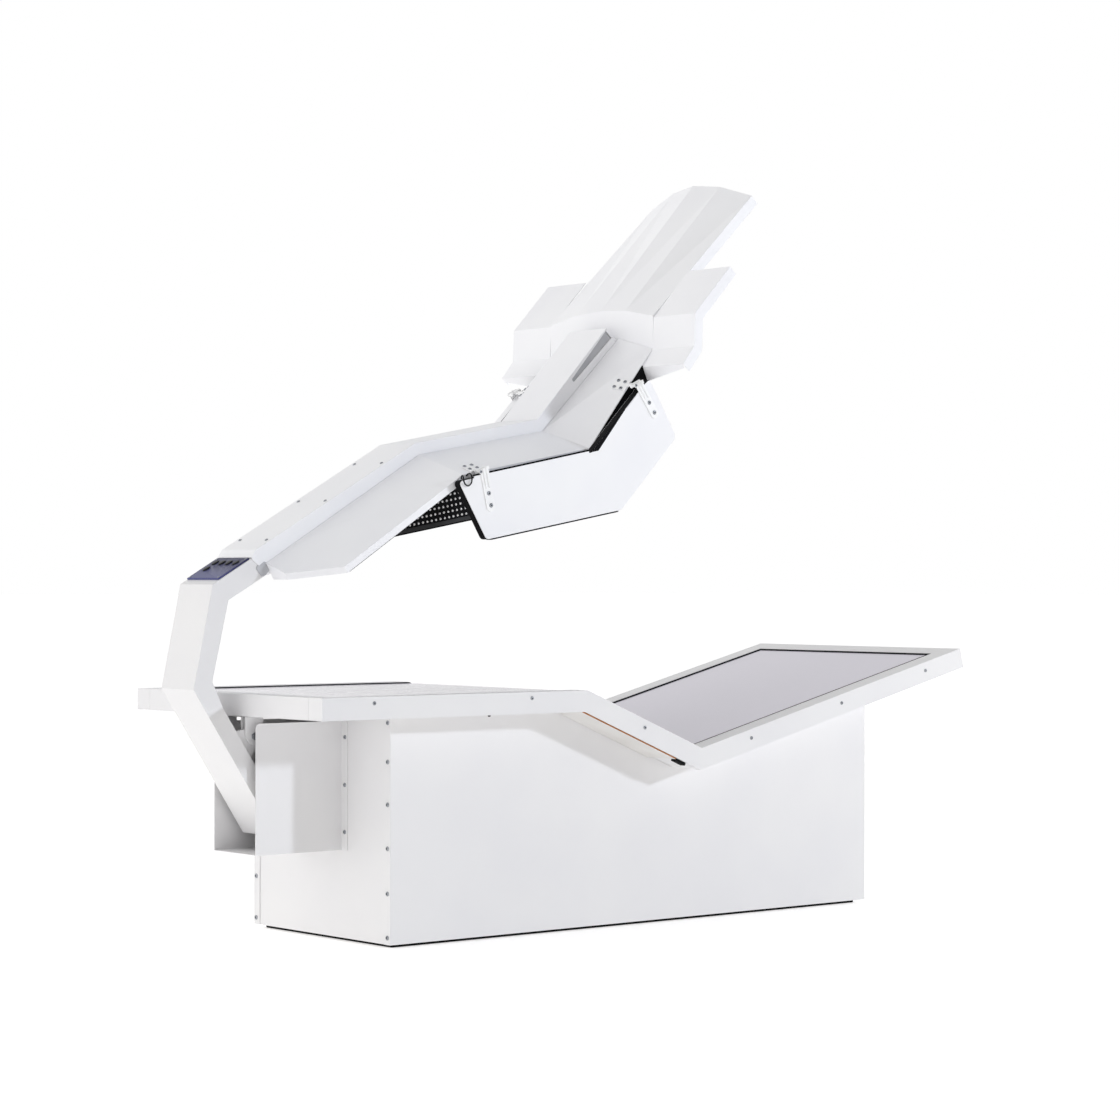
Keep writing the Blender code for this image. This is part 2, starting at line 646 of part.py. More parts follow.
def build_tray():
    rim = ((TRAY_HALF - RIM_RETURN, RIM_DEPTH), (TRAY_HALF, RIM_DEPTH), (TRAY_HALF, 0.0), (OPENING_HALF, 0.0),
           (OPENING_HALF, RIM_INNER_WALL))
    near_rows = [[at(station, -y, depth) for y, depth in rim] for station in stations(TRAY)]
    closers = [[on_leg(TRAY, leg, along, depth) for along, depth in
                ((outer, GAP), (inner, GAP), (inner, RIM_DEPTH - GAP), (outer, RIM_DEPTH - GAP))]
               for leg, outer, inner in ((0, GAP, SHEET), (2, BACK_SECTION - GAP, BACK_SECTION - SHEET))]
    for side, name in SIDES:
        folded = make(f"tray_rim_{name}", surface(near_rows, side), WHITE, bed, SHEET)
        for closer in closers:
            fuse(folded, side_plate(closer, side * (OPENING_HALF + GAP), side * (TRAY_HALF - GAP)))

    section = ((RIM_RETURN, RIM_DEPTH), (0.0, RIM_DEPTH), (0.0, 0.0), (RIM_BORDER, 0.0),
               (RIM_BORDER, RIM_INNER_WALL))
    foot_line = [on_leg(TRAY, 0, along, depth) for along, depth in section]
    head_line = [on_leg(TRAY, 2, BACK_SECTION - along, depth) for along, depth in section]
    width = OPENING_HALF - GAP
    make("tray_rim_foot", side_plate(thick_line(foot_line, SHEET), -width, width), WHITE, bed)
    make("tray_rim_head", side_plate(thick_line(head_line, -SHEET), -width, width), WHITE, bed)

    inside = SHEET + GAP
    pan = band(stations(TRAY, start_trim=inside, end_trim=inside), PAN_TOP, PAN_BOTTOM)
    make("tray_pan", side_plate(pan, -TRAY_HALF + inside, TRAY_HALF - inside), WHITE, bed)
    margin = inside + LIGHT_BOARD_MARGIN
    board = band(stations(TRAY, start_trim=margin, end_trim=margin), BOARD_TOP, BOARD_BOTTOM)
    make("bed_light_board", side_plate(board, -TRAY_HALF + margin, TRAY_HALF - margin), BOARD, bed)

    end = RIM_BORDER + GAP
    bar = band(stations(TRAY, start_trim=end, end_trim=end), EDGING_TOP, BOARD_TOP - GAP)
    edging = make("tray_edging", side_plate(bar, -width, width), BLACK, bed)
    inner = width - EDGING
    hole = band(stations(TRAY, start_trim=end + EDGING, end_trim=end + EDGING), -RIM_BORDER, RIM_DEPTH)
    cut(edging, side_plate(hole, -inner, inner))

    bottom = ACRYLIC_RECESS + ACRYLIC
    for leg, name in enumerate(("bed_acrylic_foot", "bed_acrylic_thigh", "bed_acrylic_back")):
        start_trim = end + EDGING + GAP if leg == 0 else SECTION_SEAM / 2
        end_trim = end + EDGING + GAP if leg == 2 else SECTION_SEAM / 2
        sheet = band(stations(TRAY, leg, leg + 1, start_trim, end_trim), ACRYLIC_RECESS, bottom)
        make(name, side_plate(sheet, -inner + GAP, inner - GAP), CLEAR, bed)


def build_pivot():
    start = -TRAY_OVERHANG + RIM_RETURN + GAP
    half_width = PIVOT_PLATE_WIDTH / 2
    top_plate = box((start, -half_width, PLATE_BOTTOM_Z), (PIVOT_PLATE_REACH, half_width, PLATE_TOP_Z))
    clevis = make("pivot_clevis", top_plate, WHITE, bed)
    half, top = EAR_WIDTH / 2, PLATE_BOTTOM_Z + WELD
    ear = [Vector((PIVOT.x + half, top)), Vector((PIVOT.x - half, top)), Vector((PIVOT.x - half, PIVOT.y)),
           *arc(PIVOT, EAR_RADIUS, 200, 340, 8), Vector((PIVOT.x + half, PIVOT.y))]
    bore = PIVOT_BOLT_RADIUS + GAP
    bolt_hole = oval(PIVOT, (bore, bore))
    inner = LUG / 2 + EAR_CLEARANCE
    outer = inner + EAR
    face = outer + GAP
    for side, name in SIDES:
        middle = side * CLEVIS_SPACING / 2
        fuse(clevis, side_plate(ear, middle - outer, middle - inner, [bolt_hole]))
        fuse(clevis, side_plate(ear, middle + inner, middle + outer, [bolt_hole]))
        reach = face + WELD
        shank = cylinder((PIVOT.x, middle - reach, PIVOT.y), (PIVOT.x, middle + reach, PIVOT.y),
                         PIVOT_BOLT_RADIUS)
        bolt = make(f"pivot_bolt_{name}", shank, STEEL, bed)
        for end in (-1, 1):
            fuse(bolt, cylinder((PIVOT.x, middle + end * face, PIVOT.y),
                                (PIVOT.x, middle + end * (face + BOLT_HEAD), PIVOT.y), BOLT_HEAD_RADIUS, 6))


def arm_foot_inner():
    """The inner corner of the arm's lower end."""
    return Vector(ARM_FOOT) - under(Vector(ARM_BEND), Vector(ARM_FOOT)) * ARM_SECTION


def arm_outline(extra=0.0):
    """The arm's side view, with its two ends made longer."""
    run = (Vector(ARM_FOOT) - Vector(ARM_BEND)).normalized() * extra
    reach = BOOM_REACH + extra
    return [Vector(ARM_FOOT) + run, Vector(ARM_BEND), on_leg(SPINE, 0, ELBOW_OUTER, BOOM_TOP),
            on_leg(SPINE, 0, reach, BOOM_TOP), on_leg(SPINE, 0, reach, BOOM_BOTTOM),
            on_leg(SPINE, 0, ELBOW_INNER, BOOM_BOTTOM), Vector(GUSSET_TOP), Vector(GUSSET_BOTTOM),
            arm_foot_inner() + run]


def on_arm(along, depth):
    """The side view point up the arm from its foot, at a depth behind its outer face."""
    foot, bend = Vector(ARM_FOOT), Vector(ARM_BEND)
    return foot + (bend - foot).normalized() * along - under(bend, foot) * depth


def on_arm_rectangle(ends, low, high):
    return [on_arm(ends[0], low), on_arm(ends[1], low), on_arm(ends[1], high), on_arm(ends[0], high)]


def build_arm():
    half = ARM_WIDTH / 2
    arm = make("lift_arm", side_plate(arm_outline(), -half, half), WHITE, canopy)
    cut(arm, side_plate(inset(arm_outline(ARM_WALL * 4), ARM_WALL), -half + ARM_WALL, half - ARM_WALL))
    rod_slot = on_arm_rectangle(ROD_SLOT_ENDS, ARM_SECTION - ARM_WALL * 2, ARM_SECTION + ARM_WALL)
    cut(arm, side_plate(rod_slot, -LUG_GAP, LUG_GAP))

    inner_face = [Vector(GUSSET_BOTTOM), arm_foot_inner()]
    lug = [on_leg(inner_face, 0, LUG_FOOT[0], WELD), on_leg(inner_face, 0, LUG_FOOT[1], WELD),
           *arc(PIVOT, EAR_RADIUS, -50, 120, 10)]
    bore = PIVOT_BOLT_RADIUS + GAP
    radius = PIN_RADIUS + SLOT_CLEARANCE
    lever = (PIN - PIVOT).normalized()
    heading = math.degrees(math.atan2(lever.y, lever.x))
    near_end = PIVOT + lever * (DRIVE_DROP - SLOT_SPARE)
    far_end = PIVOT + lever * ((PIN - PIVOT).length + SLOT_SPARE)
    slot = [*arc(far_end, radius, heading - 90, heading + 90, 8),
            *arc(near_end, radius, heading + 90, heading + 270, 8)]
    drive_lug = on_arm_rectangle(DRIVE_LUG_ENDS, ARM_WALL - WELD, ARM_SECTION - ARM_WALL + WELD)
    for side, _ in SIDES:
        middle = side * CLEVIS_SPACING / 2
        fuse(arm, side_plate(lug, middle - LUG / 2, middle + LUG / 2, [oval(PIVOT, (bore, bore))]))
        fuse(arm, side_plate(drive_lug, side * LUG_GAP, side * (LUG_GAP + DRIVE_LUG), [slot]))


def build_actuator():
    front, back = TUBE_FRONT, TUBE_FRONT + TUBE_LENGTH
    tube = make("actuator_tube", cylinder((front, 0.0, PIN.y), (back, 0.0, PIN.y), TUBE_RADIUS), STEEL, bed)
    cut(tube, cylinder((front - WELD, 0.0, PIN.y), (back + WELD, 0.0, PIN.y), ROD_RADIUS + GAP))

    box_front, top = back + GAP, PIN.y + GEARBOX_TOP
    half = GEARBOX_WIDTH / 2
    gearbox = box((box_front, -half, top - GEARBOX_HEIGHT), (box_front + GEARBOX_LENGTH, half, top))
    motor = make("actuator_motor", gearbox, BLACK, bed)
    motor_z = PIN.y - MOTOR_DROP
    motor_end = box_front - MOTOR_LENGTH
    fuse(motor, cylinder((motor_end, 0.0, motor_z), (box_front + WELD, 0.0, motor_z), MOTOR_RADIUS))

    half = CRADLE_WIDTH / 2
    places = [front + place for place in CRADLE_PLACES]
    base_top = FLOOR_TOP + CRADLE_PLATE
    base_start, base_end = places[0] - CRADLE_TOE, places[1] + CRADLE_PLATE + CRADLE_TOE
    base = box((base_start, -half, FLOOR_TOP), (base_end, half, base_top))
    cradle = make("actuator_cradle", base, STEEL, bed)
    upright = rectangle((-half, base_top - WELD), (half, PIN.y + CRADLE_TOP))
    bore = TUBE_RADIUS + GAP
    tube_hole = oval((0.0, PIN.y), (bore, bore))
    for x in places:
        fuse(cradle, plate(upright, LAID_ALONG["X"], x, x + CRADLE_PLATE, [tube_hole]))

    rod_end = front + 2 * math.tan(HALF_TURN) * DRIVE_DROP + ROD_HOLD
    ram = make("actuator_rod", cylinder((PIN.x, 0.0, PIN.y), (rod_end, 0.0, PIN.y), ROD_RADIUS), STEEL, rod)
    half = ROD_EYE_WIDTH / 2
    fuse(ram, cylinder((PIN.x, -half, PIN.y), (PIN.x, half, PIN.y), ROD_EYE_RADIUS))
    cut(ram, cylinder((PIN.x, -PIN_LENGTH, PIN.y), (PIN.x, PIN_LENGTH, PIN.y), PIN_RADIUS + GAP))
    half = PIN_LENGTH / 2
    make("drive_pin", cylinder((PIN.x, -half, PIN.y), (PIN.x, half, PIN.y), PIN_RADIUS), STEEL, rod)


def build_electrics():
    for name, setback, size, finish in (("power_supply", SUPPLY_SETBACK, SUPPLY, STEEL),
                                        ("control_box", CONTROL_BOX_SETBACK, CONTROL_BOX, BLACK)):
        x, half = CABINET_LENGTH - setback, size[1] / 2
        make(name, box((x, -half, FLOOR_TOP), (x + size[0], half, FLOOR_TOP + size[2])), finish, bed)
    face = CABINET_LENGTH - END_FACE + GAP
    half_w, half_h = INLET[1] / 2, INLET[2] / 2
    socket = box((face - INLET[0], INLET_Y - half_w, INLET_Z - half_h),
                 (face + WELD, INLET_Y + half_w, INLET_Z + half_h))
    inlet = make("mains_inlet", socket, BLACK, bed)
    wide, tall = half_w + INLET_FLANGE, half_h + INLET_FLANGE
    fuse(inlet, box((face, INLET_Y - wide, INLET_Z - tall), (face + SHEET, INLET_Y + wide, INLET_Z + tall)))


def spine_rows():
    """The spine cover's section at each station: wall, top, wall."""
    route = stations(SPINE)
    wall = BOOM_BOTTOM + SPINE_WALL_MARGIN
    tab = (on_leg(SPINE, 0, -SPINE_TAB), CALF_UNDER)
    end = (Vector((RISER_X - SPINE_END_GAP, RISER_BOTTOM[0] + SPINE_END_GAP)), PLUMB)
    places = [(tab, SPINE_TAB_DROP, SPINE_TAB_DROP + SPINE_TAB_WALL), (route[0], 0.0, wall),
              (route[1], 0.0, wall), (route[2], 0.0, wall), ((SPINE[3], PLUMB), 0.0, SPINE_END_WALL),
              (end, 0.0, SPINE_TAB_WALL)]
    return [[at(station, -SPINE_HALF, low), at(station, -SPINE_HALF, top), at(station, SPINE_HALF, top),
             at(station, SPINE_HALF, low)] for station, top, low in places]


def shell_rows():
    """The near shell sheet's section at each station: lip, edge, root."""
    rows = []
    for along, half in ((SHELL_START, SHELL_FOOT_HALF_WIDTH), (SHELL_CORNER, SHELL_HALF_WIDTH)):
        root = between(SHELL_INNER_DROP, along / CALF_LENGTH)
        full = between(SHELL_EDGE_DROP, along / CALF_LENGTH)
        edge = between((root, full), (half - SHELL_ROOT) / (SHELL_HALF_WIDTH - SHELL_ROOT))
        station = (on_leg(SPINE, 0, along), CALF_UNDER)
        rows.append([at(station, -half, edge + SHELL_LIP), at(station, -half, edge),
                     at(station, -SHELL_ROOT, root)])
    for station, root, edge in list(zip(stations(SPINE), SHELL_INNER_DROP, SHELL_EDGE_DROP))[1:]:
        rows.append([at(station, -SHELL_HALF_WIDTH, edge + SHELL_LIP), at(station, -SHELL_HALF_WIDTH, edge),
                     at(station, -SHELL_ROOT, root)])
    x, edge_z = RISER_X - CANOPY_SHEET - GAP, RISER_BOTTOM[2] - GAP
    rows.append([Vector((x, -HOOD_HALF_WIDTH, edge_z - SHELL_LIP)), Vector((x, -HOOD_HALF_WIDTH, edge_z)),
                 Vector((x, -SHELL_ROOT, RISER_INNER_Z))])
    return rows


def end_cap(lip, edge, root, side):
    """The plate that closes the shell's foot end, between its lip and the spine."""
    down = Vector((CALF_UNDER.x, 0.0, CALF_UNDER.y))
    run = Vector((CALF_RUN.x, 0.0, CALF_RUN.y))
    drop = (lip - root).dot(down)
    into = Vector((0.0, CANOPY_SHEET / 2, 0.0))
    ring = [root + down * CANOPY_SHEET / 2, edge + down * CANOPY_SHEET / 2 + into, lip - down * GAP + into,
            root + down * (drop - GAP)]
    front = [Vector((p.x, p.y * -side, p.z)) + run * GAP for p in ring]
    return loft([front, [p + run * CANOPY_SHEET for p in front]])


def build_canopy():
    spine = make("spine_cover", surface(spine_rows()), WHITE, canopy, CANOPY_SHEET)
    wedge = rounded([on_leg(SPINE, 2, along, drop) for along, drop in FLANK_SLOT],
                    (FLANK_SLOT_CORNER, 0.0, 0.0, FLANK_SLOT_CORNER))
    cut(spine, side_plate(wedge, -SPINE_HALF - WELD, SPINE_HALF + WELD))

    near = shell_rows()
    for side, name in SIDES:
        shell = make(f"canopy_shell_{name}", surface(near, side), WHITE, canopy, CANOPY_SHEET)
        fuse(shell, end_cap(*near[0], side))

    foot_edge = between(SHELL_EDGE_DROP, BOARD_START / CALF_LENGTH)
    riser_edge = Vector((RISER_X - SECTION_SEAM, RISER_BOTTOM[2]))
    knee, hip = stations(SPINE)[1:3]
    places = (((on_leg(SPINE, 0, BOARD_START), CALF_UNDER), foot_edge, BOARD_HALF),
              (knee, SHELL_EDGE_DROP[1], BOARD_HALF), (hip, SHELL_EDGE_DROP[2], BOARD_HALF),
              ((riser_edge, PLUMB), 0.0, BOARD_END_HALF))
    board_top = CANOPY_BOARD_DROP + CANOPY_SHEET
    lens_top = board_top + CANOPY_BOARD + GAP
    for name, top, low, finish in (("canopy_light_board", board_top, board_top + CANOPY_BOARD, BOARD),
                                   ("canopy_lens", lens_top, lens_top + LENS, CLEAR)):
        rings = [[at(station, -half, edge + top), at(station, half, edge + top),
                  at(station, half, edge + low), at(station, -half, edge + low)]
                 for station, edge, half in places]
        make(name, loft(rings), finish, canopy)

    slope = math.radians(HOOD_SLOPE)
    along = Vector((math.cos(slope), math.sin(slope)))
    drop = Vector((along.y, -along.x))
    level = Vector((1.0, 0.0))
    ridge_end = Vector((RISER_X, RISER_TOP[0])) + along * HOOD_LENGTH
    setbacks = (0.0, 0.0, HOOD_EDGE_SETBACK)
    end_line = [ridge_end + drop * fall - along * back for fall, back in zip(HOOD_END_DROP, setbacks)]
    folds = (0.0, HOOD_FOLD, HOOD_HALF_WIDTH)
    sections = (([Vector((RISER_X, z)) for z in RISER_BOTTOM], folds, level),
                ([Vector((RISER_X, z)) for z in RISER_TOP], folds, mitre(level, drop)),
                (end_line, (0.0, HOOD_END_FOLD, HOOD_END_HALF_WIDTH), drop))
    rows = []
    for points, widths, flange in sections:
        tip = points[-1] + flange * HOOD_FLANGE
        half = [Vector((p.x, -y, p.y)) for p, y in zip([*points, tip], [*widths, widths[-1]])]
        rows.append(half[::-1] + [Vector((p.x, -p.y, p.z)) for p in half[1:]])
    make("head_hood", surface(rows), WHITE, canopy, CANOPY_SHEET)

    line = [SPINE_END + Vector(place)
            for place in (WING_FOOT, WING_RISER_BOTTOM, WING_RISER_TOP, WING_TOP)]
    inner = HOOD_HALF_WIDTH + WING_GAP
    rows = [[at(station, -WING_HALF_WIDTH, HOOD_FLANGE), at(station, -WING_HALF_WIDTH, 0.0),
             at(station, -y, 0.0)]
            for station, y in zip(stations(line), (inner + WING_FOOT_INSET, inner, inner, inner))]
    for side, name in SIDES:
        make(f"shoulder_wing_{name}", surface(rows, side), WHITE, canopy, CANOPY_SHEET)


def build_controls():
    run, normal = CALF_RUN, -CALF_UNDER
    origin = on_leg(SPINE, 0, PLATE_TOP_END, PLATE_DROP)
    laid = Matrix(((run.x, 0.0, normal.x, origin.x), (0.0, 1.0, 0.0, 0.0), (run.y, 0.0, normal.y, origin.y),
                   (0.0, 0.0, 0.0, 1.0)))
    middle = (BUTTON_ROW_COUNT - 1) / 2
    places = {f"button_{i + 1}": (-BUTTON_ROW, (i - middle) * BUTTON_PITCH) for i in range(BUTTON_ROW_COUNT)}
    places["power_button"] = (-POWER_BUTTON[0], POWER_BUTTON[1])
    half = PLATE_WIDTH / 2
    wide = [radius + BUTTON_CLEARANCE for radius in BUTTON_RADII]
    holes = [oval(place, wide) for place in places.values()]
    face = plate(rectangle((-PLATE_LENGTH, -half), (0.0, half)), laid, -PLATE, 0.0, holes)
    make("control_plate", face, PLATE_INK, canopy)
    for name, place in places.items():
        holder = carrier(name + "_axis", laid @ Vector((*place, 0.0)), canopy)
        make(name, plate(oval(place, BUTTON_RADII), laid, BUTTON_SEAT - PLATE, BUTTON_PROUD), BLACK, holder)


def hinge_strap(name, side, knuckle, end):
    """A strap down the panel's face, with a cross head and the two barrels that ride on the knuckle's pin."""
    top, foot = Vector(knuckle), Vector(end)
    down = (foot - top).normalized()
    half = STRAP_WIDTH / 2
    wide = Vector((-down.y, down.x)) * half
    heading = math.degrees(math.atan2(down.y, down.x))
    outline = [top + wide, top - wide, *arc(foot - down * half, half, heading - 90, heading + 90, 8)]
    strap = make(name, side_plate(outline, side * STRAP_FACE, side * STRAP_BACK), WHITE, swing[side])
    inner, outer = KNUCKLE_LENGTH / 2 + GAP, KNUCKLE_LENGTH / 2 + GAP + BARREL_LENGTH
    square = Vector((-HINGE_LINE.y, HINGE_LINE.x)) * KNUCKLE_RADIUS * 0.8
    reach = HINGE_LINE * outer
    head = [top - reach - square, top + reach - square, top + reach + square, top - reach + square]
    fuse(strap, side_plate(head, side * (STRAP_FACE + GAP), side * (STRAP_BACK - GAP)))
    centre = Vector((top.x, side * HINGE_Y, top.y))
    for turn in (-1, 1):
        way = HINGE_AXIS * turn
        fuse(strap, cylinder(centre + way * inner, centre + way * outer, KNUCKLE_RADIUS))
        low, high = top + HINGE_LINE * turn * (inner + GAP), top + HINGE_LINE * turn * (outer - GAP)
        web = [low - square / 2, high - square / 2, high + square / 2, low + square / 2]
        fuse(strap, side_plate(web, side * (HINGE_Y + KNUCKLE_RADIUS / 2), side * (STRAP_FACE + STRAP / 2)))


def hinge_leaf(name, side, knuckle, row, after):
    """A leaf on the shell beside its edge, with a tongue out to the knuckle."""
    (_, edge, root), (_, next_edge, _) = row, after
    rim = edge.lerp(next_edge, (knuckle[0] - edge.x) / (next_edge.x - edge.x))
    along = (next_edge - edge).normalized()
    inward = root - rim
    inward = (inward - along * inward.dot(along)).normalized()
    up = along.cross(inward)
    mirror = Matrix.Diagonal((1.0, -side, 1.0, 1.0))
    place = Matrix((along, inward, up)).transposed().to_4x4()
    place.translation = rim + inward * LEAF_WIDTH / 2 + up * (LEAF_LIFT + LEAF / 2)
    size = Matrix.Diagonal((LEAF_LENGTH, LEAF_WIDTH, LEAF, 1.0))
    bm = bmesh.new()
    bmesh.ops.create_cube(bm, size=1.0, matrix=mirror @ place @ size)
    leaf = make(name, bm, WHITE, canopy)
    centre = Vector((knuckle[0], -HINGE_Y, knuckle[1]))
    start = rim + inward * KNUCKLE_RADIUS + up * (LEAF_LIFT + LEAF / 2)
    rings = []
    for point, half, thick in ((start, along * TONGUE_WIDTH / 2, up * (LEAF / 2 - GAP)),
                               (centre, HINGE_AXIS * TONGUE_WIDTH / 2, Vector((0.0, 0.0, LEAF / 2)))):
        ring = (point - half - thick, point + half - thick, point + half + thick, point - half + thick)
        rings.append([mirror @ corner for corner in ring])
    fuse(leaf, loft(rings))
    reach = HINGE_AXIS * KNUCKLE_LENGTH / 2
    fuse(leaf, cylinder(mirror @ (centre - reach), mirror @ (centre + reach), KNUCKLE_RADIUS))


def build_side_panels():
    outline = rounded([HIP + Vector(place) for place in PANEL_OUTLINE], PANEL_CORNERS)
    skin = inset(outline, PANEL_SKIN_INSET)
    rows = shell_rows()
    for side, name in SIDES:
        module = side_plate(outline, side * PANEL_INNER_Y, side * (PANEL_INNER_Y + PANEL_MODULE))
        make(f"{name}_panel_module", module, BOARD, swing[side])
        cover = side_plate(skin, side * SKIN_FACE, side * (SKIN_FACE + PANEL_SKIN))
        make(f"{name}_panel_skin", cover, WHITE, swing[side])
        for i, (knuckle, end) in enumerate(zip(KNUCKLES, STRAP_ENDS)):
            hinge_strap(f"{name}_hinge_strap_{i + 1}", side, knuckle, end)
            hinge_leaf(f"{name}_hinge_leaf_{i + 1}", side, knuckle, rows[i + 2], rows[i + 3])


build_cabinet()
build_frame()
build_guard()
build_tray()
build_pivot()
build_arm()
build_actuator()
build_electrics()
build_canopy()
build_controls()
build_side_panels()
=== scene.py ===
"""Dresses the red light therapy bed: finishes, fasteners, diodes, seals, leads and inlet, and the studio.

Places are laid out as in the part's source, in metres from the cabinet's foot end, and place() moves them to
the frame: x runs to the head end, y across with the near side at -y, and z up from the floor.
"""
import math

import bmesh
import bpy
from mathutils import Matrix, Vector


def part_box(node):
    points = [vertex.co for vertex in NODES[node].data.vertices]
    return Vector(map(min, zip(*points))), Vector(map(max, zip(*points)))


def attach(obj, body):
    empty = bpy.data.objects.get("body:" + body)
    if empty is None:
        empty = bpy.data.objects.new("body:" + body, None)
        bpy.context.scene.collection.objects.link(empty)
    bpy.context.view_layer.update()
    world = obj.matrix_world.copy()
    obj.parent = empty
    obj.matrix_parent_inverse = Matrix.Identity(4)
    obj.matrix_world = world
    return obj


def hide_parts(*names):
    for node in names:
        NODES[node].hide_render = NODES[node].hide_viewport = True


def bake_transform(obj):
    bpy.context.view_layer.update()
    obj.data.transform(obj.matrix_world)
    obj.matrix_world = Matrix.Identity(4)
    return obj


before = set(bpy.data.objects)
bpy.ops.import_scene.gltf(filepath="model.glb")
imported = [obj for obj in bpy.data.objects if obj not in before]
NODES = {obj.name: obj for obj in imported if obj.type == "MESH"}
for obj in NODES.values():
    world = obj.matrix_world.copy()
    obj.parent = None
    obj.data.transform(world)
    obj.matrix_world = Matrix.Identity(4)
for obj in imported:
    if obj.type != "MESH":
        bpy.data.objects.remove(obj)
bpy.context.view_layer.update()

MIDDLE = 0.781053             # of the whole bed, from the cabinet's foot end
SIDES = ((-1, "near"), (1, "far"))
TO_FOOT, TO_HEAD, DOWN = Vector((-1.0, 0.0, 0.0)), Vector((1.0, 0.0, 0.0)), Vector((0.0, 0.0, -1.0))
GAP = 0.0004                  # between a dressed piece and what carries it
CRISP, SOFT = 30.0, 60.0      # edge angles, in degrees, above which a mesh is shaded sharp
# A screw head, as shares of its radius: radii and heights of its dome and its socket, and the socket's floor
HEAD_DOME = ((1.0, 0.10), (0.94, 0.26), (0.78, 0.42), (0.56, 0.50))
HEAD_SOCKET = ((0.46, 0.50), (0.44, 0.12))
SOCKET_FLOOR, SOCKET_DEPTH = 0.43, 0.30
HEAD_SUNK, SOCKET_FLOOR_THICK = 0.0002, 0.0002

# Camera, as found from the photograph
CAMERA_AT = (-4.4771, -6.3033, 0.9412)
CAMERA_YAW, CAMERA_PITCH, CAMERA_ROLL = 40.001, 0.320, 0.110
FOCAL_PIXELS, PHOTO_PIXELS, SENSOR, VIEW_REACH = 2962.5, 1120, 36.0, 500.0

# Studio light: white paper all round, a darker room to the camera's right, and a key lamp from there
PAPER, KEY_COLOUR, GLOW_COLOUR = "#FFFFFF", "#EEF4FF", "#FFFDFA"
CYCLORAMA_LIGHT, ROOM_LIGHT, KEY_LIGHT, FLOOR_GLOW = 1.36, 0.08, 0.98, 0.34
ROOM_FROM, ROOM_TO = -0.55, 0.8
ROOM_DIRECTION = (0.6, -0.8, 0.0)
KEY_DIRECTION, KEY_SPREAD = (0.562, -0.771, 0.300), 4.0
FLOOR_REACH = 120.0
# Soft lamps off the foot end and the near head corner: place, size, the way each turns about z, and watts
SOFT_LAMPS = (("foot_lamp", (-4.6, 0.5, 0.7), (3.0, 1.6), -90.0, 12.0),
              ("head_lamp", (4.6, -2.6, 1.1), (2.4, 1.8), 60.0, 24.0))

# Cabinet and tray
CABINET_LENGTH, CABINET_HALF = 1.709, 0.304
CORNER_SCREW, CORNER_SCREW_Y = 0.0062, 0.293
CORNER_SCREW_HEIGHTS = (0.028, 0.139, 0.253, 0.364, 0.472, 0.571)
GUARD_SCREW, GUARD_SCREW_Y = 0.0058, 0.1085
GUARD_SCREW_HEIGHTS = (0.283, 0.404, 0.527)
PLINTH_INSET, PLINTH_THICK, PLINTH_HEIGHTS = 0.0235, 0.0050, (0.0008, 0.0096)
FOOT_COUNT, FOOT_SIDES = 4, 28
# Radius and height, from the top down
FOOT_PROFILE = ((0.017, 0.0097), (0.017, 0.0062), (0.0198, 0.0054), (0.0200, 0.0046), (0.0200, 0.0012),
                (0.0192, 0.0002), (0.0150, 0.0), (0.0140, 0.0010))
TRAY_TOP, TRAY_OVERHANG, TRAY_HALF = 0.644, 0.293, 0.420
TRAY_LEGS = ((0.850, 0.0), (0.437, -22.2), (1.057, 13.9))
RIM_SCREW, RIM_DEPTH = 0.0052, 0.056
# Section of the tray, place along it and depth below its top
RIM_SCREWS = ((0, 0.157, 0.016), (0, 0.660, 0.016), (1, 0.223, 0.021), (2, 0.184, 0.024), (2, 0.545, 0.024),
              (2, 0.899, 0.024))
# Board under the thigh section's overhang: thickness, its bare edge's width, set-back from the rim and ends
LINING, LINING_EDGE, LINING_INSET, LINING_ENDS = 0.0036, 0.0008, 0.0015, (0.004, 0.360)
LINING_ROUND, LINING_EDGE_ROUND, LINING_EDGE_DROP = 0.0003, 0.0002, 0.0001
# Rubber stop and rim plug: the tray's section and the place along it, and set-back from the rim
STOP_PLACE, STOP_SIZE, STOP_INSET, STOP_ROUND = (1, 0.364), (0.036, 0.020, 0.008), 0.004, 0.0015
PLUG_PLACE, PLUG_INSET, PLUG_SIDES = (0, 0.523), 0.005, 16
PLUG_PROFILE = ((0.0036, 0.0), (0.0036, 0.0022), (0.0028, 0.0034), (0.0012, 0.0038))
# Mains inlet: half sizes and corner radius of its rings, from its back out to the flange and into the
# recess, each with its distance behind the flange's face
INLET_Y, INLET_Z, INLET_FACE = 0.200, 0.100, CABINET_LENGTH - 0.0004
INLET_PROFILE = ((0.0136, 0.0236, 0.002, 0.0297), (0.0136, 0.0236, 0.002, 0.0018),
                 (0.0180, 0.0280, 0.004, 0.0016), (0.0180, 0.0280, 0.004, 0.0002),
                 (0.0172, 0.0272, 0.0034, 0.0), (0.0108, 0.0150, 0.003, 0.0),
                 (0.0104, 0.0146, 0.003, 0.0006), (0.0102, 0.0144, 0.003, 0.0150))
INLET_SCREW, INLET_SCREW_OFF = 0.0026, 0.0210
BLADE_PLACES, BLADE_BACK = ((0.0, 0.0), (-0.0040, 0.0070), (-0.0040, -0.0070)), 0.0148
# Half sizes of a blade across and up, and its taper: distances out from its root and shares of that size
BLADE_HALF, BLADE_TAPER = (0.0010, 0.0020), ((0.0, 1.0), (0.0105, 1.0), (0.0120, 0.6))

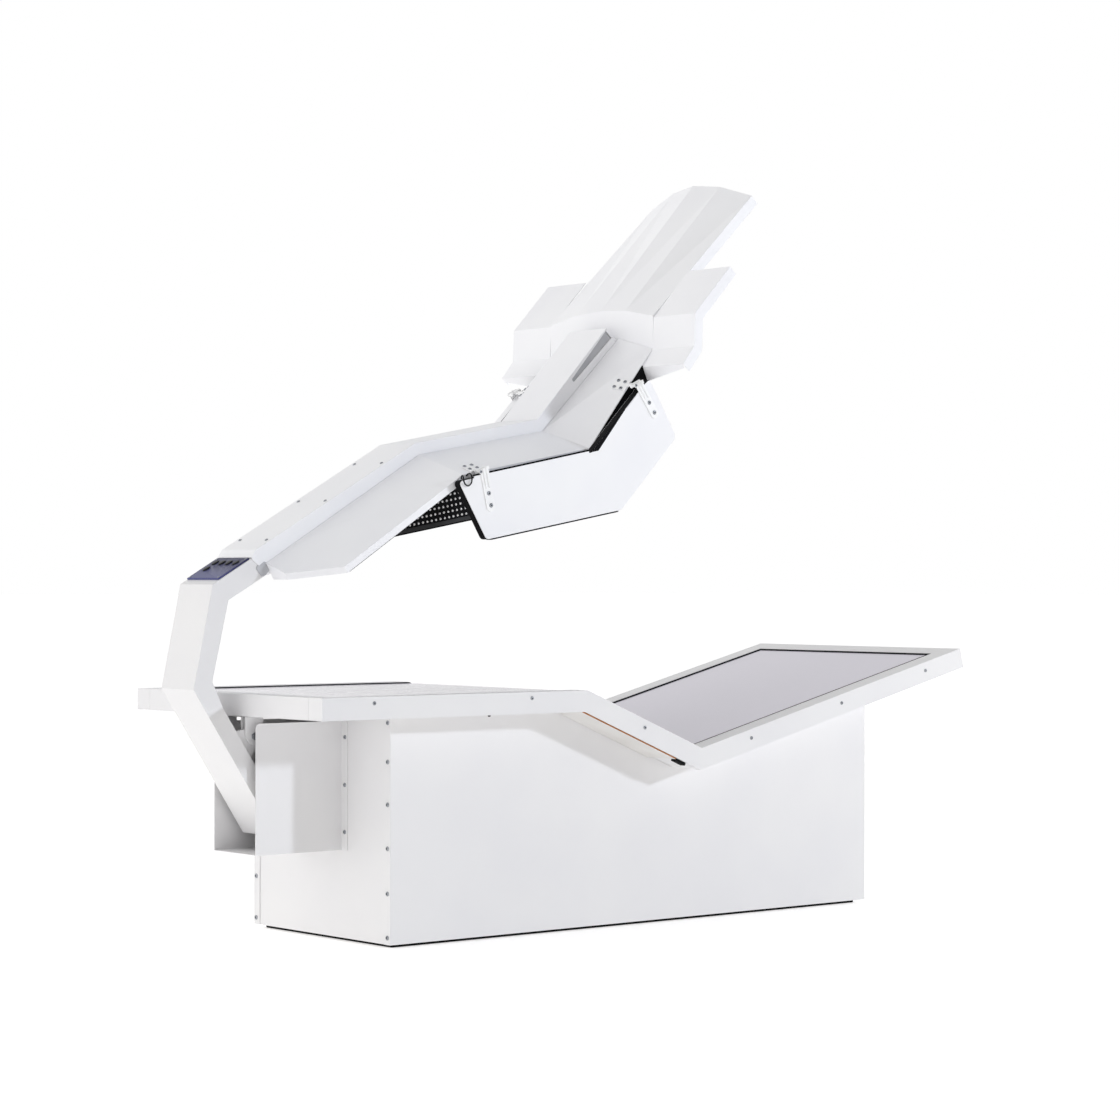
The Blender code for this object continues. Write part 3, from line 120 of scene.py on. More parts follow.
# Canopy
SPINE_FOOT = (-0.255, 1.008)
SPINE_LEGS = ((0.578, 29.45), (0.425, 10.57), (0.360, 46.7))
SPINE_SCREW, SPINE_SCREW_Y = 0.0048, 0.060
SPINE_SCREWS = ((0, 0.050), (0, 0.259), (0, 0.466))
FLANK_LINER_ENDS, FLANK_LINER_DROPS, FLANK_LINER_Y = (0.150, 0.352), (0.0030, 0.042), (0.0735, 0.0750)
END_LINER, END_LINER_DROPS, END_LINER_HALF = ((0.9170, 1.6255), (0.9440, 1.6017)), (0.0008, 0.0020), 0.0732
PLATE_TOP_END, PLATE_DROP, PLATE_LENGTH, PLATE_WIDTH = -0.026, 0.0095, 0.106, 0.143
PLATE_SCREW, PLATE_SCREW_INSET = 0.0030, 0.0065
PLATE_Z = (0.985, 0.925)                      # of its upper and lower end
BUTTON_RADII, BUTTON_PITCH, BUTTON_ROW, BUTTON_SIDES = (0.0105, 0.0092), 0.031, -0.026, 32
ROW_COUNT = 4
POWER_BUTTON = (-0.057, 0.0465)
# Share of the button's radii, and height over the plate
BUTTON_PROFILE = ((1.0, -0.0024), (1.0, 0.0014), (0.96, 0.0021), (0.84, 0.0026), (0.60, 0.0030),
                  (0.30, 0.0032), (0.08, 0.00325))
MARK_CLEAR, MARK_WIDTH, MARK_HEIGHTS, BORDER_INSET = 0.0024, 0.0007, (0.0001, 0.00016), 0.003
# Grey patch of painted shade on each of the boom's flanks, where the spine's end shades it
ARM_SHADE_PATCH = ((-0.257, 0.962), (-0.228, 0.984), (-0.206, 0.957), (-0.235, 0.937))
ARM_SHADE_PATCH_PROFILE = ((1.0, GAP), (1.0, 0.0016), (0.93, 0.0028), (0.80, 0.0034))      # share and rise
ARM_SHADE_PATCH_CORNER, ARM_SHADE_PATCH_STEPS, ARM_FLANK_Y = 0.3, (0.0, 0.25, 0.5, 0.75, 1.0), 0.075
HIP_EDGE, RISER_EDGE = (0.7115, 1.2871), (0.9572, 1.5697)     # of the shell, beside the torso
HIP_EDGE_Y, RISER_EDGE_Y = 0.243, 0.220
SKIRT_ENDS, SKIRT_DROP, LIP_DROP, SEAL_DROP = (0.012, 0.83), 0.044, 0.0185, 0.0014
LIP_STRIP_FACES, SEAL_FACES = (-0.0022, -0.0006), (0.0003, 0.0013)      # outward of the lip
SEAL_ROUND = 0.0003
# Return under each shoulder wing's foot: its y, then its top and low edge in side view, at both ends
WING_RETURN = ((0.2262, (0.9184, 1.5152), (0.9350, 1.4780)), (0.3868, (0.9184, 1.5152), (0.9235, 1.5050)))
WING_RETURN_TOP, WING_RETURN_LOW = (0.0015, -0.0012), (0.0015, 0.0007)      # its thickness, at each edge

# Side light panels
PANEL_OUTLINE = ((0.242, 1.187), (0.695, 1.275), (0.880, 1.462), (0.903, 1.480), (0.932, 1.438),
                 (1.003, 1.325), (0.802, 1.121), (0.335, 1.036))
PANEL_INNER_Y, PANEL_OUTER_Y, SKIN_Y, STRAP_FACE_Y = 0.247, 0.268, 0.2713, 0.2746
KNUCKLES = ((0.325, 1.2185), (0.862, 1.466))
STRAP_ENDS = ((0.351, 1.110), (0.927, 1.376))
STRAP_SCREW, STRAP_SCREWS = 0.0060, (0.56, 0.85)      # radius, and places down the strap
KNUCKLE_SCREW, KNUCKLE_SCREW_BACK = 0.0042, 0.0130
STRAP_RIBS, STRAP_RIB_ENDS = (-0.0052, 0.0052), (-0.05, 0.44)
RIB_HALF, RIB_FACES, RIB_ROUND = 0.0017, (STRAP_FACE_Y - 0.0003, STRAP_FACE_Y + 0.0030), 0.0008
LEAF_SCREW, LEAF_SCREW_ALONG, LEAF_SCREW_INWARD = 0.0054, (-0.012, 0.012), (-0.007, 0.015)
LEAF_OUTWARD, LEAF_UPWARD = 0.4, 0.9          # the way that a hinge leaf's face looks
# Bars along a panel's edges: heights to the left of their line, y of their faces and cut of their corners
PANEL_RAIL = (0.002, 0.013), (PANEL_INNER_Y - 0.0001, PANEL_INNER_Y - 0.0022), 0.0007
PANEL_EDGING = (-0.0026, -GAP), (PANEL_INNER_Y + 0.001, SKIN_Y), 0.0008
TOP_STRIP = (-0.008, 0.004), (SKIN_Y + 0.00004, SKIN_Y + 0.00026), 0.0001
TOP_BEAD = (0.0041, 0.0086), (PANEL_OUTER_Y, SKIN_Y), 0.0009
TORSO_ANGLE = (-0.0110, -0.0004), (PANEL_INNER_Y - 0.0002, PANEL_INNER_Y - 0.0009), 0.0002
TORSO_BEAD = (GAP, 0.0014), (PANEL_OUTER_Y, SKIN_Y + 0.0007), 0.0003
TORSO_CAP = (GAP, 0.0012), (PANEL_INNER_Y - 0.0008, SKIN_Y), 0.0003
RAIL_START, RAIL_END, EDGING_END, ANGLE_START = 0.018, 0.024, 0.012, 0.030     # from the panel's corners
TOP_EDGE_ENDS, TORSO_BEAD_END = (0.052, 0.452), 0.86
# Black trim on the skin's edge beside the torso, in side view, and y of its faces
TORSO_TRIM = ((0.6953, 1.2752), (0.7185, 1.2798), (0.8137, 1.3939), (0.8128, 1.3948))
TORSO_TRIM_FACES = (SKIN_Y + 0.0001, SKIN_Y + 0.0007)
DIODE_PITCH, DIODE_RADIUS, DIODE_MARGIN, DIODE_SIDES = 0.0155, 0.0035, 0.020, 8
DIODE_DOME = ((1.0, 0.0001), (0.85, 0.001365), (0.40, 0.0021))       # share of its radius, and height
DIODE_ROWS, DIODE_STEPS = range(24), range(-12, 44)
FOLD_CLEAR = 0.4              # share of the diodes' pitch that stays free beside the fold
MARGIN_SLACK = 0.0001         # allowance for rounding, at the margin
# A lead from the shell's lip to the panel, on the +y side: its radius, the steps drawn between its points,
# and the points
LEAD_RADIUS, LEAD_STEPS = 0.0020, 4
LEAD_POINTS = ((0.2880, 0.2450, 1.2030), (0.2868, 0.2540, 1.2072), (0.2850, 0.2640, 1.2080),
               (0.2832, 0.2730, 1.2025), (0.2820, 0.2765, 1.1930), (0.2780, 0.2775, 1.1820),
               (0.2685, 0.2775, 1.1755), (0.2585, 0.2772, 1.1800), (0.2540, 0.2768, 1.1905),
               (0.2555, 0.2735, 1.1990), (0.2590, 0.2650, 1.2025), (0.2620, 0.2580, 1.1990),
               (0.2630, 0.2560, 1.1940))


def place(x, y, z):
    return Vector((x - MIDDLE, y, z))


def bent_line(start, legs):
    """Side view points of a bent line, from a start and its legs' lengths and slopes."""
    points = [Vector(start)]
    for length, slope in legs:
        turn = math.radians(slope)
        points.append(points[-1] + Vector((math.cos(turn), math.sin(turn))) * length)
    return points


TRAY = bent_line((-TRAY_OVERHANG, TRAY_TOP), TRAY_LEGS)
SPINE = bent_line(SPINE_FOOT, SPINE_LEGS)


def on_leg(line, leg, along, drop=0.0):
    """The side view point along a leg and under it, and the leg's direction."""
    run = (line[leg + 1] - line[leg]).normalized()
    return line[leg] + run * along + Vector((run.y, -run.x)) * drop, run


# Finishes

def linear(hex_colour):
    """An sRGB hex value as linear light."""
    channels = [int(hex_colour[i:i + 2], 16) / 255 for i in (1, 3, 5)]
    return (*(c / 12.92 if c <= 0.04045 else ((c + 0.055) / 1.055) ** 2.4 for c in channels), 1.0)


def add(tree, kind, links=(), stops=(), **settings):
    """A node with its settings, its links as (own input, other node, its output), and a ramp's stops."""
    node = tree.nodes.new(kind)
    for name, value in settings.items():
        if name.startswith("in_"):
            key = name[3:]
            node.inputs[int(key) if key.isdigit() else key.replace("_", " ")].default_value = value
        else:
            setattr(node, name, value)
    for i, (colour, at) in enumerate(stops):
        node.color_ramp.elements[i].color = linear(colour)
        node.color_ramp.elements[i].position = at
    for own, other, output in links:
        tree.links.new(other.outputs[output], node.inputs[own])
    return node


def finish(name, colour, roughness, metallic=0.0, ior=1.5):
    """A material with its even values on the shader, for the patterns to be linked to."""
    material = bpy.data.materials.new(name)
    material.use_nodes = True
    tree = material.node_tree
    shader = tree.nodes["Principled BSDF"]
    shader.inputs["Base Color"].default_value = linear(colour)
    shader.inputs["Roughness"].default_value = roughness
    shader.inputs["Metallic"].default_value = metallic
    shader.inputs["IOR"].default_value = ior
    material.diffuse_color = linear(colour)
    return material, tree, shader


def grain(tree, shader, size_mm, height_mm, rough_from, rough_to, stretch=(1.0, 1.0, 1.0)):
    """A surface grain of a real size: fine relief, and a roughness that wanders with it."""
    where = add(tree, "ShaderNodeTexCoord")
    scaled = add(tree, "ShaderNodeMapping", [("Vector", where, "Object")], in_Scale=stretch)
    noise = add(tree, "ShaderNodeTexNoise", [("Vector", scaled, "Vector")],
                in_Scale=1000 / size_mm, in_Detail=3.0, in_Roughness=0.55)
    bump = add(tree, "ShaderNodeBump", [("Height", noise, "Fac")], in_Strength=0.6,
               in_Distance=height_mm / 1000)
    tree.links.new(bump.outputs["Normal"], shader.inputs["Normal"])
    rough = add(tree, "ShaderNodeMapRange", [("Value", noise, "Fac")], in_From_Min=0.3, in_From_Max=0.7,
                in_To_Min=rough_from, in_To_Max=rough_to)
    tree.links.new(rough.outputs["Result"], shader.inputs["Roughness"])
    return where


def drift(tree, shader, where, first, second, size_mm):
    """A slow change between two near colours, as a large coated sheet shows."""
    noise = add(tree, "ShaderNodeTexNoise", [("Vector", where, "Object")], in_Scale=1000 / size_mm,
                in_Detail=2.0)
    colours = add(tree, "ShaderNodeValToRGB", [("Fac", noise, "Fac")], ((first, 0.35), (second, 0.65)))
    tree.links.new(colours.outputs["Color"], shader.inputs["Base Color"])


def coated(name, first, second, rough_from, rough_to, grain_mm=3.0, relief_mm=0.05, drift_mm=260.0,
           ior=1.5, metallic=0.0, stretch=(1.0, 1.0, 1.0), shine=0.5):
    """A finish with a fine grain and a slow drift of colour. Grains under 1 mm are drawn at 1 mm, to show."""
    material, tree, shader = finish(name, first, rough_from, metallic, ior)
    shader.inputs["Specular IOR Level"].default_value = shine
    where = grain(tree, shader, grain_mm, relief_mm, rough_from, rough_to, stretch)
    drift(tree, shader, where, first, second, drift_mm)
    return material


def acrylic(name, colour, clear):
    """Cast acrylic, polished: pale violet-grey, with faint lines from its film."""
    material, tree, shader = finish(name, colour, 0.10, ior=1.49)
    shader.inputs["Transmission Weight"].default_value = clear
    grain(tree, shader, 6.0, 0.02, 0.08, 0.16, (0.05, 1.0, 1.0))
    return material


def diode_board():
    """Glass-epoxy board with black solder mask, and rows of pale diode lenses at their real pitch.
    The rows follow each flat of the bent board: along it is the position along the flat's own slope."""
    material, tree, shader = finish("glass_epoxy_board_with_diodes", "#17161C", 0.50, ior=1.55)
    where = add(tree, "ShaderNodeTexCoord")
    slope = add(tree, "ShaderNodeVectorMath", [(0, where, "Normal")], operation="CROSS_PRODUCT",
                in_1=(0.0, 1.0, 0.0))
    along = add(tree, "ShaderNodeVectorMath", [(0, where, "Object"), (1, slope, "Vector")],
                operation="DOT_PRODUCT")
    across = add(tree, "ShaderNodeSeparateXYZ", [("Vector", where, "Object")])
    squares = []
    for source, output in ((along, "Value"), (across, "Y")):
        cells = add(tree, "ShaderNodeMath", [(0, source, output)], operation="DIVIDE", in_1=DIODE_PITCH)
        within = add(tree, "ShaderNodeMath", [(0, cells, "Value")], operation="FRACT")
        centred = add(tree, "ShaderNodeMath", [(0, within, "Value")], operation="SUBTRACT", in_1=0.5)
        squares.append(add(tree, "ShaderNodeMath", [(0, centred, "Value"), (1, centred, "Value")],
                           operation="MULTIPLY"))
    total = add(tree, "ShaderNodeMath", [(0, squares[0], "Value"), (1, squares[1], "Value")],
                operation="ADD")
    reach = add(tree, "ShaderNodeMath", [(0, total, "Value")], operation="SQRT")
    lens = DIODE_RADIUS / DIODE_PITCH
    rim = lens + 0.03
    colours = add(tree, "ShaderNodeValToRGB", [("Fac", reach, "Value")],
                  (("#E9E7EE", lens), ("#17161C", rim)))
    tree.links.new(colours.outputs["Color"], shader.inputs["Base Color"])
    gloss = add(tree, "ShaderNodeMapRange", [("Value", reach, "Value")], in_From_Min=lens, in_From_Max=rim,
                in_To_Min=0.15, in_To_Max=0.50)
    tree.links.new(gloss.outputs["Result"], shader.inputs["Roughness"])
    return material


def overlay():
    """Screen printed polycarbonate overlay: blue-violet film with a velvet grain, paler to its lower end."""
    material, tree, shader = finish("polycarbonate_overlay_printed", "#3A3E78", 0.42, ior=1.58)
    shader.inputs["Specular IOR Level"].default_value = 0.25
    where = grain(tree, shader, 1.0, 0.03, 0.30, 0.44)
    split = add(tree, "ShaderNodeSeparateXYZ", [("Vector", where, "Object")])
    down = add(tree, "ShaderNodeMapRange", [("Value", split, "Z")], in_From_Min=PLATE_Z[0],
               in_From_Max=PLATE_Z[1])
    colours = add(tree, "ShaderNodeValToRGB", [("Fac", down, "Result")],
                  (("#1E2050", 0.15), ("#484D88", 0.95)))
    tree.links.new(colours.outputs["Color"], shader.inputs["Base Color"])
    return material


# Polyester powder coat on folded sheet: satin white with the faint orange peel that baking leaves. The real
# peel is about 1.5 mm across, and is drawn at 3 mm so that it shows.
COAT = coated("steel_powder_coated_white", "#EAE9E9", "#E7E6E7", 0.34, 0.44)
CANOPY_COAT = coated("aluminium_powder_coated_white", "#F8F8FA", "#F4F4F7", 0.34, 0.46)
# Aluminium composite sheet, lacquered on the roll: white, flatter and a little smoother than the powder coat
SKIN_COAT = coated("aluminium_composite_sheet_white", "#F7F7F8", "#F3F3F6", 0.30, 0.40, 4.0, 0.03)
# Zinc castings, sprayed white: smoother than the sheets, with a slight shine
HINGE_COAT = coated("zinc_casting_sprayed_white", "#FEFEFE", "#F8F8F9", 0.24, 0.34, 2.0, 0.03, 40.0)
# Grey behind the slots in the spine's flanks: flat, and darker than the white coat, as painted shade for the
# shadowed recess
SLOT_SHADE_GREY = coated("slot_painted_shade_grey", "#BDBEC2", "#B4B5BA", 0.55, 0.70, 2.0, 0.04, 60.0)
# Extruded EPDM rubber: dull black, with a fine grain along it that traps most of what it would reflect
RUBBER = coated("epdm_rubber_extruded", "#09090B", "#0F0F12", 0.60, 0.78, 1.2, 0.06, 60.0, 1.52,
                stretch=(0.2, 1.0, 1.0), shine=0.09)
# Black solder mask over a glass-epoxy board: dull, with the slight weave of the cloth under it
MASK = coated("glass_epoxy_black_solder_mask", "#050507", "#09090C", 0.56, 0.70, 1.5, 0.03, 40.0, 1.55,
              shine=0.07)
# Dull grey with a fine texture, for the patches of painted shade on the boom's flanks
BOOM_SHADE_GREY = coated("boom_painted_shade_grey", "#BFC0C4", "#B4B5BA", 0.50, 0.64, 1.2, 0.05, 30.0, 1.52)
# Moulded ABS: black with a spark-eroded texture, drawn at 1 mm
BLACK = coated("abs_moulded_black", "#101012", "#19191C", 0.38, 0.52, 1.0, 0.05, 40.0, 1.54, shine=0.25)
# Zinc plated steel, turned and tumbled: bright, with fine scratches all one way
STEEL = coated("steel_zinc_plated", "#94979C", "#ABAEB3", 0.24, 0.40, 1.5, 0.02, 12.0, metallic=1.0,
               stretch=(1.0, 0.15, 1.0))
# The same plating in the bottom of a screw's socket, painted dark as shade in the recess
SOCKET_SHADE = coated("steel_zinc_plated_socket_shade", "#1E1F21", "#2A2B2E", 0.40, 0.55, 1.0, 0.02, 4.0, metallic=1.0)
# Extruded aluminium, mill finish: pale grey with drawn lines along it
EXTRUSION = coated("aluminium_extruded", "#9FA2A7", "#B4B7BB", 0.34, 0.50, 2.0, 0.02, 80.0, metallic=1.0,
                   stretch=(0.1, 1.0, 1.0))
# White melamine faced board, and its bare sawn edge with the brown chips that show there
MELAMINE = coated("chipboard_melamine_faced", "#E8E6E3", "#E2DFDB", 0.36, 0.46, 2.0, 0.02, 120.0)
BARE_EDGE = coated("chipboard_sawn_edge", "#B9783F", "#8F5526", 0.60, 0.80, 1.5, 0.20, 3.0)
# Brass, nickel plated: pale and bright, for the inlet's pins
PIN_METAL = coated("brass_nickel_plated", "#C6C4BE", "#D2D0CB", 0.18, 0.30, 1.0, 0.01, 6.0, metallic=1.0)
# Cast epoxy lens of a diode: pale and glossy, drifting slightly towards yellow
DIODE = coated("epoxy_diode_lens_cast", "#FFFFFD", "#F4F2EC", 0.10, 0.18, 1.0, 0.01, 8.0, 1.53)
# Screen print ink: dark blue, with a slightly open film
INK = coated("screen_print_ink_dark_blue", "#12132A", "#191A36", 0.50, 0.65, 1.0, 0.01, 6.0, shine=0.2)
# PVC insulation of a thin lead: black and slightly shiny
INSULATION = coated("pvc_insulation_extruded", "#0B0B0D", "#111114", 0.40, 0.52, 1.0, 0.02, 10.0, 1.54,
                    shine=0.2)
BED_ACRYLIC = acrylic("acrylic_cast_satin_violet", "#E6E1ED", 0.14)
LENS_ACRYLIC = acrylic("acrylic_cast_clear", "#ECE9F0", 0.95)
BOARD = diode_board()
OVERLAY = overlay()

NODE_FINISHES = {
    "front_panel rear_panel foot_end_panel head_end_panel floor_sheet arm_guard tray_rim_near tray_rim_far"
    " tray_rim_foot tray_rim_head tray_pan pivot_clevis actuator_cradle lift_arm": COAT,
    "spine_cover canopy_shell_near canopy_shell_far head_hood shoulder_wing_near"
    " shoulder_wing_far": CANOPY_COAT,
    "near_panel_skin far_panel_skin": SKIN_COAT,
    "near_hinge_strap_1 near_hinge_strap_2 far_hinge_strap_1 far_hinge_strap_2 near_hinge_leaf_1"
    " near_hinge_leaf_2 far_hinge_leaf_1 far_hinge_leaf_2": HINGE_COAT,
    "tray_edging levelling_foot_1 levelling_foot_2 levelling_foot_3 levelling_foot_4": RUBBER,
    "actuator_motor control_box mains_inlet": BLACK,
    "near_panel_module far_panel_module": MASK,
    "pivot_bolt_near pivot_bolt_far actuator_tube actuator_rod drive_pin": STEEL,
    "cabinet_frame power_supply": EXTRUSION,
    "bed_acrylic_foot bed_acrylic_thigh bed_acrylic_back": BED_ACRYLIC,
    "canopy_lens": LENS_ACRYLIC,
    "bed_light_board canopy_light_board": BOARD,
    "control_plate": OVERLAY,
    "button_1 button_2 button_3 button_4 power_button": BLACK,
}
WELD_REACH, FLAT_ANGLE = 0.00002, 0.5
EDGE_ROUND, EDGE_STEPS, EDGE_ANGLE = 0.0007, 2, 25.0


def soften(node):
    """Rounds a node's sharp edges, as deburring and coating do, without touching its own mesh."""
    weld = node.modifiers.new("weld", "WELD")
    weld.merge_threshold = WELD_REACH
    flat = node.modifiers.new("flat", "DECIMATE")
    flat.decimate_type = "DISSOLVE"
    flat.angle_limit = math.radians(FLAT_ANGLE)
    edge = node.modifiers.new("edge", "BEVEL")
    edge.width = EDGE_ROUND
    edge.segments = EDGE_STEPS
    edge.limit_method = "ANGLE"
    edge.angle_limit = math.radians(EDGE_ANGLE)
    edge.harden_normals = True


for names, material in NODE_FINISHES.items():
    for name in names.split():
        node = NODES[name]
        node.data.materials.clear()
        node.data.materials.append(material)
        soften(node)


# Shapes

def piece(name, shape, material, body, sharp=40.0):
    """A mesh that rides on a body of the frame. Its points are already in the frame."""
    bm = bmesh.new()
    corners = [bm.verts.new(point) for point in shape[0]]
    for face in shape[1]:
        bm.faces.new([corners[i] for i in face])
    bmesh.ops.recalc_face_normals(bm, faces=bm.faces[:])
    mesh = bpy.data.meshes.new(name)
    bm.to_mesh(mesh)
    bm.free()
    mesh.shade_smooth()
    mesh.set_sharp_from_angle(angle=math.radians(sharp))
    mesh.materials.append(material)
    made = bpy.data.objects.new(name, mesh)
    bpy.context.scene.collection.objects.link(made)
    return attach(made, body) if body else made


def facing(centre, normal, up=Vector((0.0, 0.0, 1.0))):
    """A frame at a point, with its z along the normal."""
    normal = normal.normalized()
    across = up.cross(normal)
    if across.length < 0.01:
        across = Vector((0.0, 1.0, 0.0)).cross(normal)
    across.normalize()
    turned = Matrix((across, normal.cross(across), normal)).transposed().to_4x4()
    turned.translation = centre
    return turned


def stacked(rings):
    """Points and faces of a stack of rings, closed at both ends."""
    count = len(rings[0])
    points = [point for ring in rings for point in ring]
    faces = [tuple(reversed(range(count)))]
    for level in range(len(rings) - 1):
        for i in range(count):
            j = (i + 1) % count
            low, high = level * count, (level + 1) * count
            faces.append((low + i, low + j, high + j, high + i))
    last = (len(rings) - 1) * count
    faces.append(tuple(range(last, last + count)))
    return points, faces


def ring(radius, height, sides=12, hexagon=False):
    """A ring about z. A hexagon keeps as many points, every other one on its flats."""
    points = []
    for i in range(sides):
        turn = math.tau * i / sides
        reach = radius * math.cos(math.pi / 6) if hexagon and i % 2 else radius
        points.append(Vector((reach * math.cos(turn), reach * math.sin(turn), height)))
    return points


def joined(shapes):
    """Several shapes as one mesh."""
    points, faces = [], []
    for shape in shapes:
        faces += [tuple(len(points) + i for i in face) for face in shape[1]]
        points += shape[0]
    return points, faces


def spread(shape, frames):
    """Copies of a shape at several frames, as one mesh."""
    return joined([([where @ point for point in shape[0]], shape[1]) for where in frames])


def button_head(radius):
    """A button-head screw: a low dome with a hexagon socket."""
    dome = [ring(radius * share, radius * rise) for share, rise in HEAD_DOME]
    socket = [ring(radius * share, radius * rise, hexagon=True) for share, rise in HEAD_SOCKET]
    return stacked([ring(radius, -HEAD_SUNK), *dome, *socket])


def screws(name, radius, places, body):
    """Button-head screws at several places, each a point and the way that it faces, with socket floors
    painted dark as shade.
    """
    frames = [facing(point, normal) for point, normal in places]
    piece(name, spread(button_head(radius), frames), STEEL, body)
    low = radius * SOCKET_DEPTH
    floor = stacked([ring(radius * SOCKET_FLOOR, height, hexagon=True)
                     for height in (low, low + SOCKET_FLOOR_THICK)])
    piece(f"{name}_sockets", spread(floor, frames), SOCKET_SHADE, body)


def beside(line):
    """Each point of a side view line with its mitred direction to the line's left."""
    runs = [(b - a).normalized() for a, b in zip(line, line[1:])]
    lefts = [Vector((-run.y, run.x)) for run in runs]
    joined = [(a + b) / (1.0 + a.dot(b)) for a, b in zip(lefts, lefts[1:])]
    return list(zip(line, [lefts[0], *joined, lefts[-1]]))


def swept(line, section, shifts=None):
    """A bar along a side view line. Its section is points to the line's left and in y, which may shift."""
    shifts = shifts or [0.0] * len(line)
    rings = []
    for (point, left), shift in zip(beside([Vector(p) for p in line]), shifts):
        flats = [(point + left * off, y + shift) for off, y in section]
        rings.append([place(flat.x, y, flat.y) for flat, y in flats])
    return stacked(rings)


def flat_bar(low, high, first, last, chamfer=0.0004):
    """A bar's section between two distances and two y values, with its corners taken off."""
    cut = math.copysign(chamfer, last - first)
    return ((low, first + cut), (low + chamfer, first), (high - chamfer, first), (high, first + cut),
            (high, last - cut), (high - chamfer, last), (low + chamfer, last), (low, last - cut))


def largest_face(node, toward):
    """Centre and normal of the largest flat of a CAD node that faces a direction."""
    groups = {}
    for face in NODES[node].data.polygons:
        if face.normal.dot(toward) > 0.5:
            groups.setdefault(tuple(round(v, 2) for v in face.normal), []).append(face)
    flat = max(groups.values(), key=lambda faces: sum(face.area for face in faces))
    area = sum(face.area for face in flat)
    centre = sum((face.center * face.area for face in flat), Vector()) / area
    return centre, sum((face.normal * face.area for face in flat), Vector()).normalized()


def smooth_route(points, steps):
    """A curve through points, with a few steps between each two."""
    ends = [points[0] * 2 - points[1], *points, points[-1] * 2 - points[-2]]
    route = []
    for a, b, c, d in zip(ends, ends[1:], ends[2:], ends[3:]):
        for i in range(steps):
            t = i / steps
            route.append(((2 * b) + (c - a) * t + (2 * a - 5 * b + 4 * c - d) * t ** 2
                          + (3 * b - a - 3 * c + d) * t ** 3) / 2)
    return route + [points[-1]]


def tube(route, radius, sides=10):
    """A round tube along a route, with its rings kept from twisting."""
    rings, across = [], None
    for i, point in enumerate(route):
        ahead = (route[min(i + 1, len(route) - 1)] - route[max(i - 1, 0)]).normalized()
        across = (across - ahead * across.dot(ahead)) if across else ahead.orthogonal()
        across.normalize()
        side = ahead.cross(across)
        rings.append([point + (across * math.cos(t) + side * math.sin(t)) * radius
                      for t in (math.tau * k / sides for k in range(sides))])
    return stacked(rings)


# Cabinet and tray

def cabinet_fasteners():
    ends = ((0.0, TO_FOOT), (CABINET_LENGTH, TO_HEAD))
    screws("corner_screws", CORNER_SCREW,
           [(place(x, y, z), way) for x, way in ends for y in (-CORNER_SCREW_Y, CORNER_SCREW_Y)
            for z in CORNER_SCREW_HEIGHTS], "base")
    screws("guard_screws", GUARD_SCREW,
           [(place(0.0, y, z), TO_FOOT) for y in (-GUARD_SCREW_Y, GUARD_SCREW_Y)
            for z in GUARD_SCREW_HEIGHTS], "base")
    rim = []
    for leg, along, depth in RIM_SCREWS:
        point, _ = on_leg(TRAY, leg, along, depth)
        rim += [(place(point.x, side * TRAY_HALF, point.y), Vector((0.0, side, 0.0))) for side, _ in SIDES]
    screws("rim_screws", RIM_SCREW, rim, "base")


def levelling_feet():
    foot = stacked([ring(radius, height, FOOT_SIDES) for radius, height in FOOT_PROFILE])
    for i in range(1, FOOT_COUNT + 1):
        low, high = (Vector(corner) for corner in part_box(f"levelling_foot_{i}"))
        stand = Matrix.Translation(Vector(((low.x + high.x) / 2, (low.y + high.y) / 2, 0.0)))
        made = piece(f"levelling_foot_pad_{i}", spread(foot, [stand]), RUBBER, "base")
        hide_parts(f"levelling_foot_{i}")


def plinth_painted_shade_strip():
    """A black strip under the cabinet, set back from its sheets, in the gap over the floor: painted shade for
    the shadow under the cabinet.
    """
    low, high = PLINTH_HEIGHTS
    rings = []
    for inset, z in ((0.0, low), (0.0, high), (PLINTH_THICK, high), (PLINTH_THICK, low)):
        back = PLINTH_INSET + inset
        half = CABINET_HALF - back
        rings.append([place(x, y, z) for x, y in ((back, -half), (CABINET_LENGTH - back, -half),
                                                  (CABINET_LENGTH - back, half), (back, half))])
    points = [point for corners in rings for point in corners]
    faces = [(4 * i + k, 4 * i + (k + 1) % 4, 4 * j + (k + 1) % 4, 4 * j + k)
             for i, j in ((0, 1), (1, 2), (2, 3), (3, 0)) for k in range(4)]
    piece("plinth_painted_shade_strip", (points, faces), RUBBER, "base")


def overhang_lining():
    """White board under the thigh section's overhang, with its bare edge, its rubber stop and a rim plug."""
    under = RIM_DEPTH + GAP
    line = [on_leg(TRAY, 1, along, under)[0] for along in LINING_ENDS]
    leg, along = STOP_PLACE
    long, wide, deep = STOP_SIZE
    stop_line = [on_leg(TRAY, leg, at, under)[0] for at in (along, along + long)]
    stop_face = TRAY_HALF - STOP_INSET
    plug_at, _ = on_leg(TRAY, *PLUG_PLACE, RIM_DEPTH)
    plug = stacked([ring(radius, height, PLUG_SIDES) for radius, height in PLUG_PROFILE])
    for side, name in SIDES:
        inner = side * (CABINET_HALF + GAP * 2)
        edge = side * (TRAY_HALF - LINING_INSET)
        face = edge - side * LINING_EDGE
        board = swept(line, flat_bar(-LINING, 0.0, inner, face, LINING_ROUND))
        piece(f"{name}_overhang_lining", board, MELAMINE, "base")
        strip = swept(line, flat_bar(-LINING, -LINING_EDGE_DROP, face, edge, LINING_EDGE_ROUND))
        piece(f"{name}_overhang_lining_edge", strip, BARE_EDGE, "base")
        stop = flat_bar(-deep, 0.0, side * (stop_face - wide), side * stop_face, STOP_ROUND)
        piece(f"{name}_rubber_stop", swept(stop_line, stop), RUBBER, "base")
        below = facing(place(plug_at.x, side * (TRAY_HALF - PLUG_INSET), plug_at.y), DOWN)
        piece(f"{name}_rim_plug", spread(plug, [below]), RUBBER, "base")


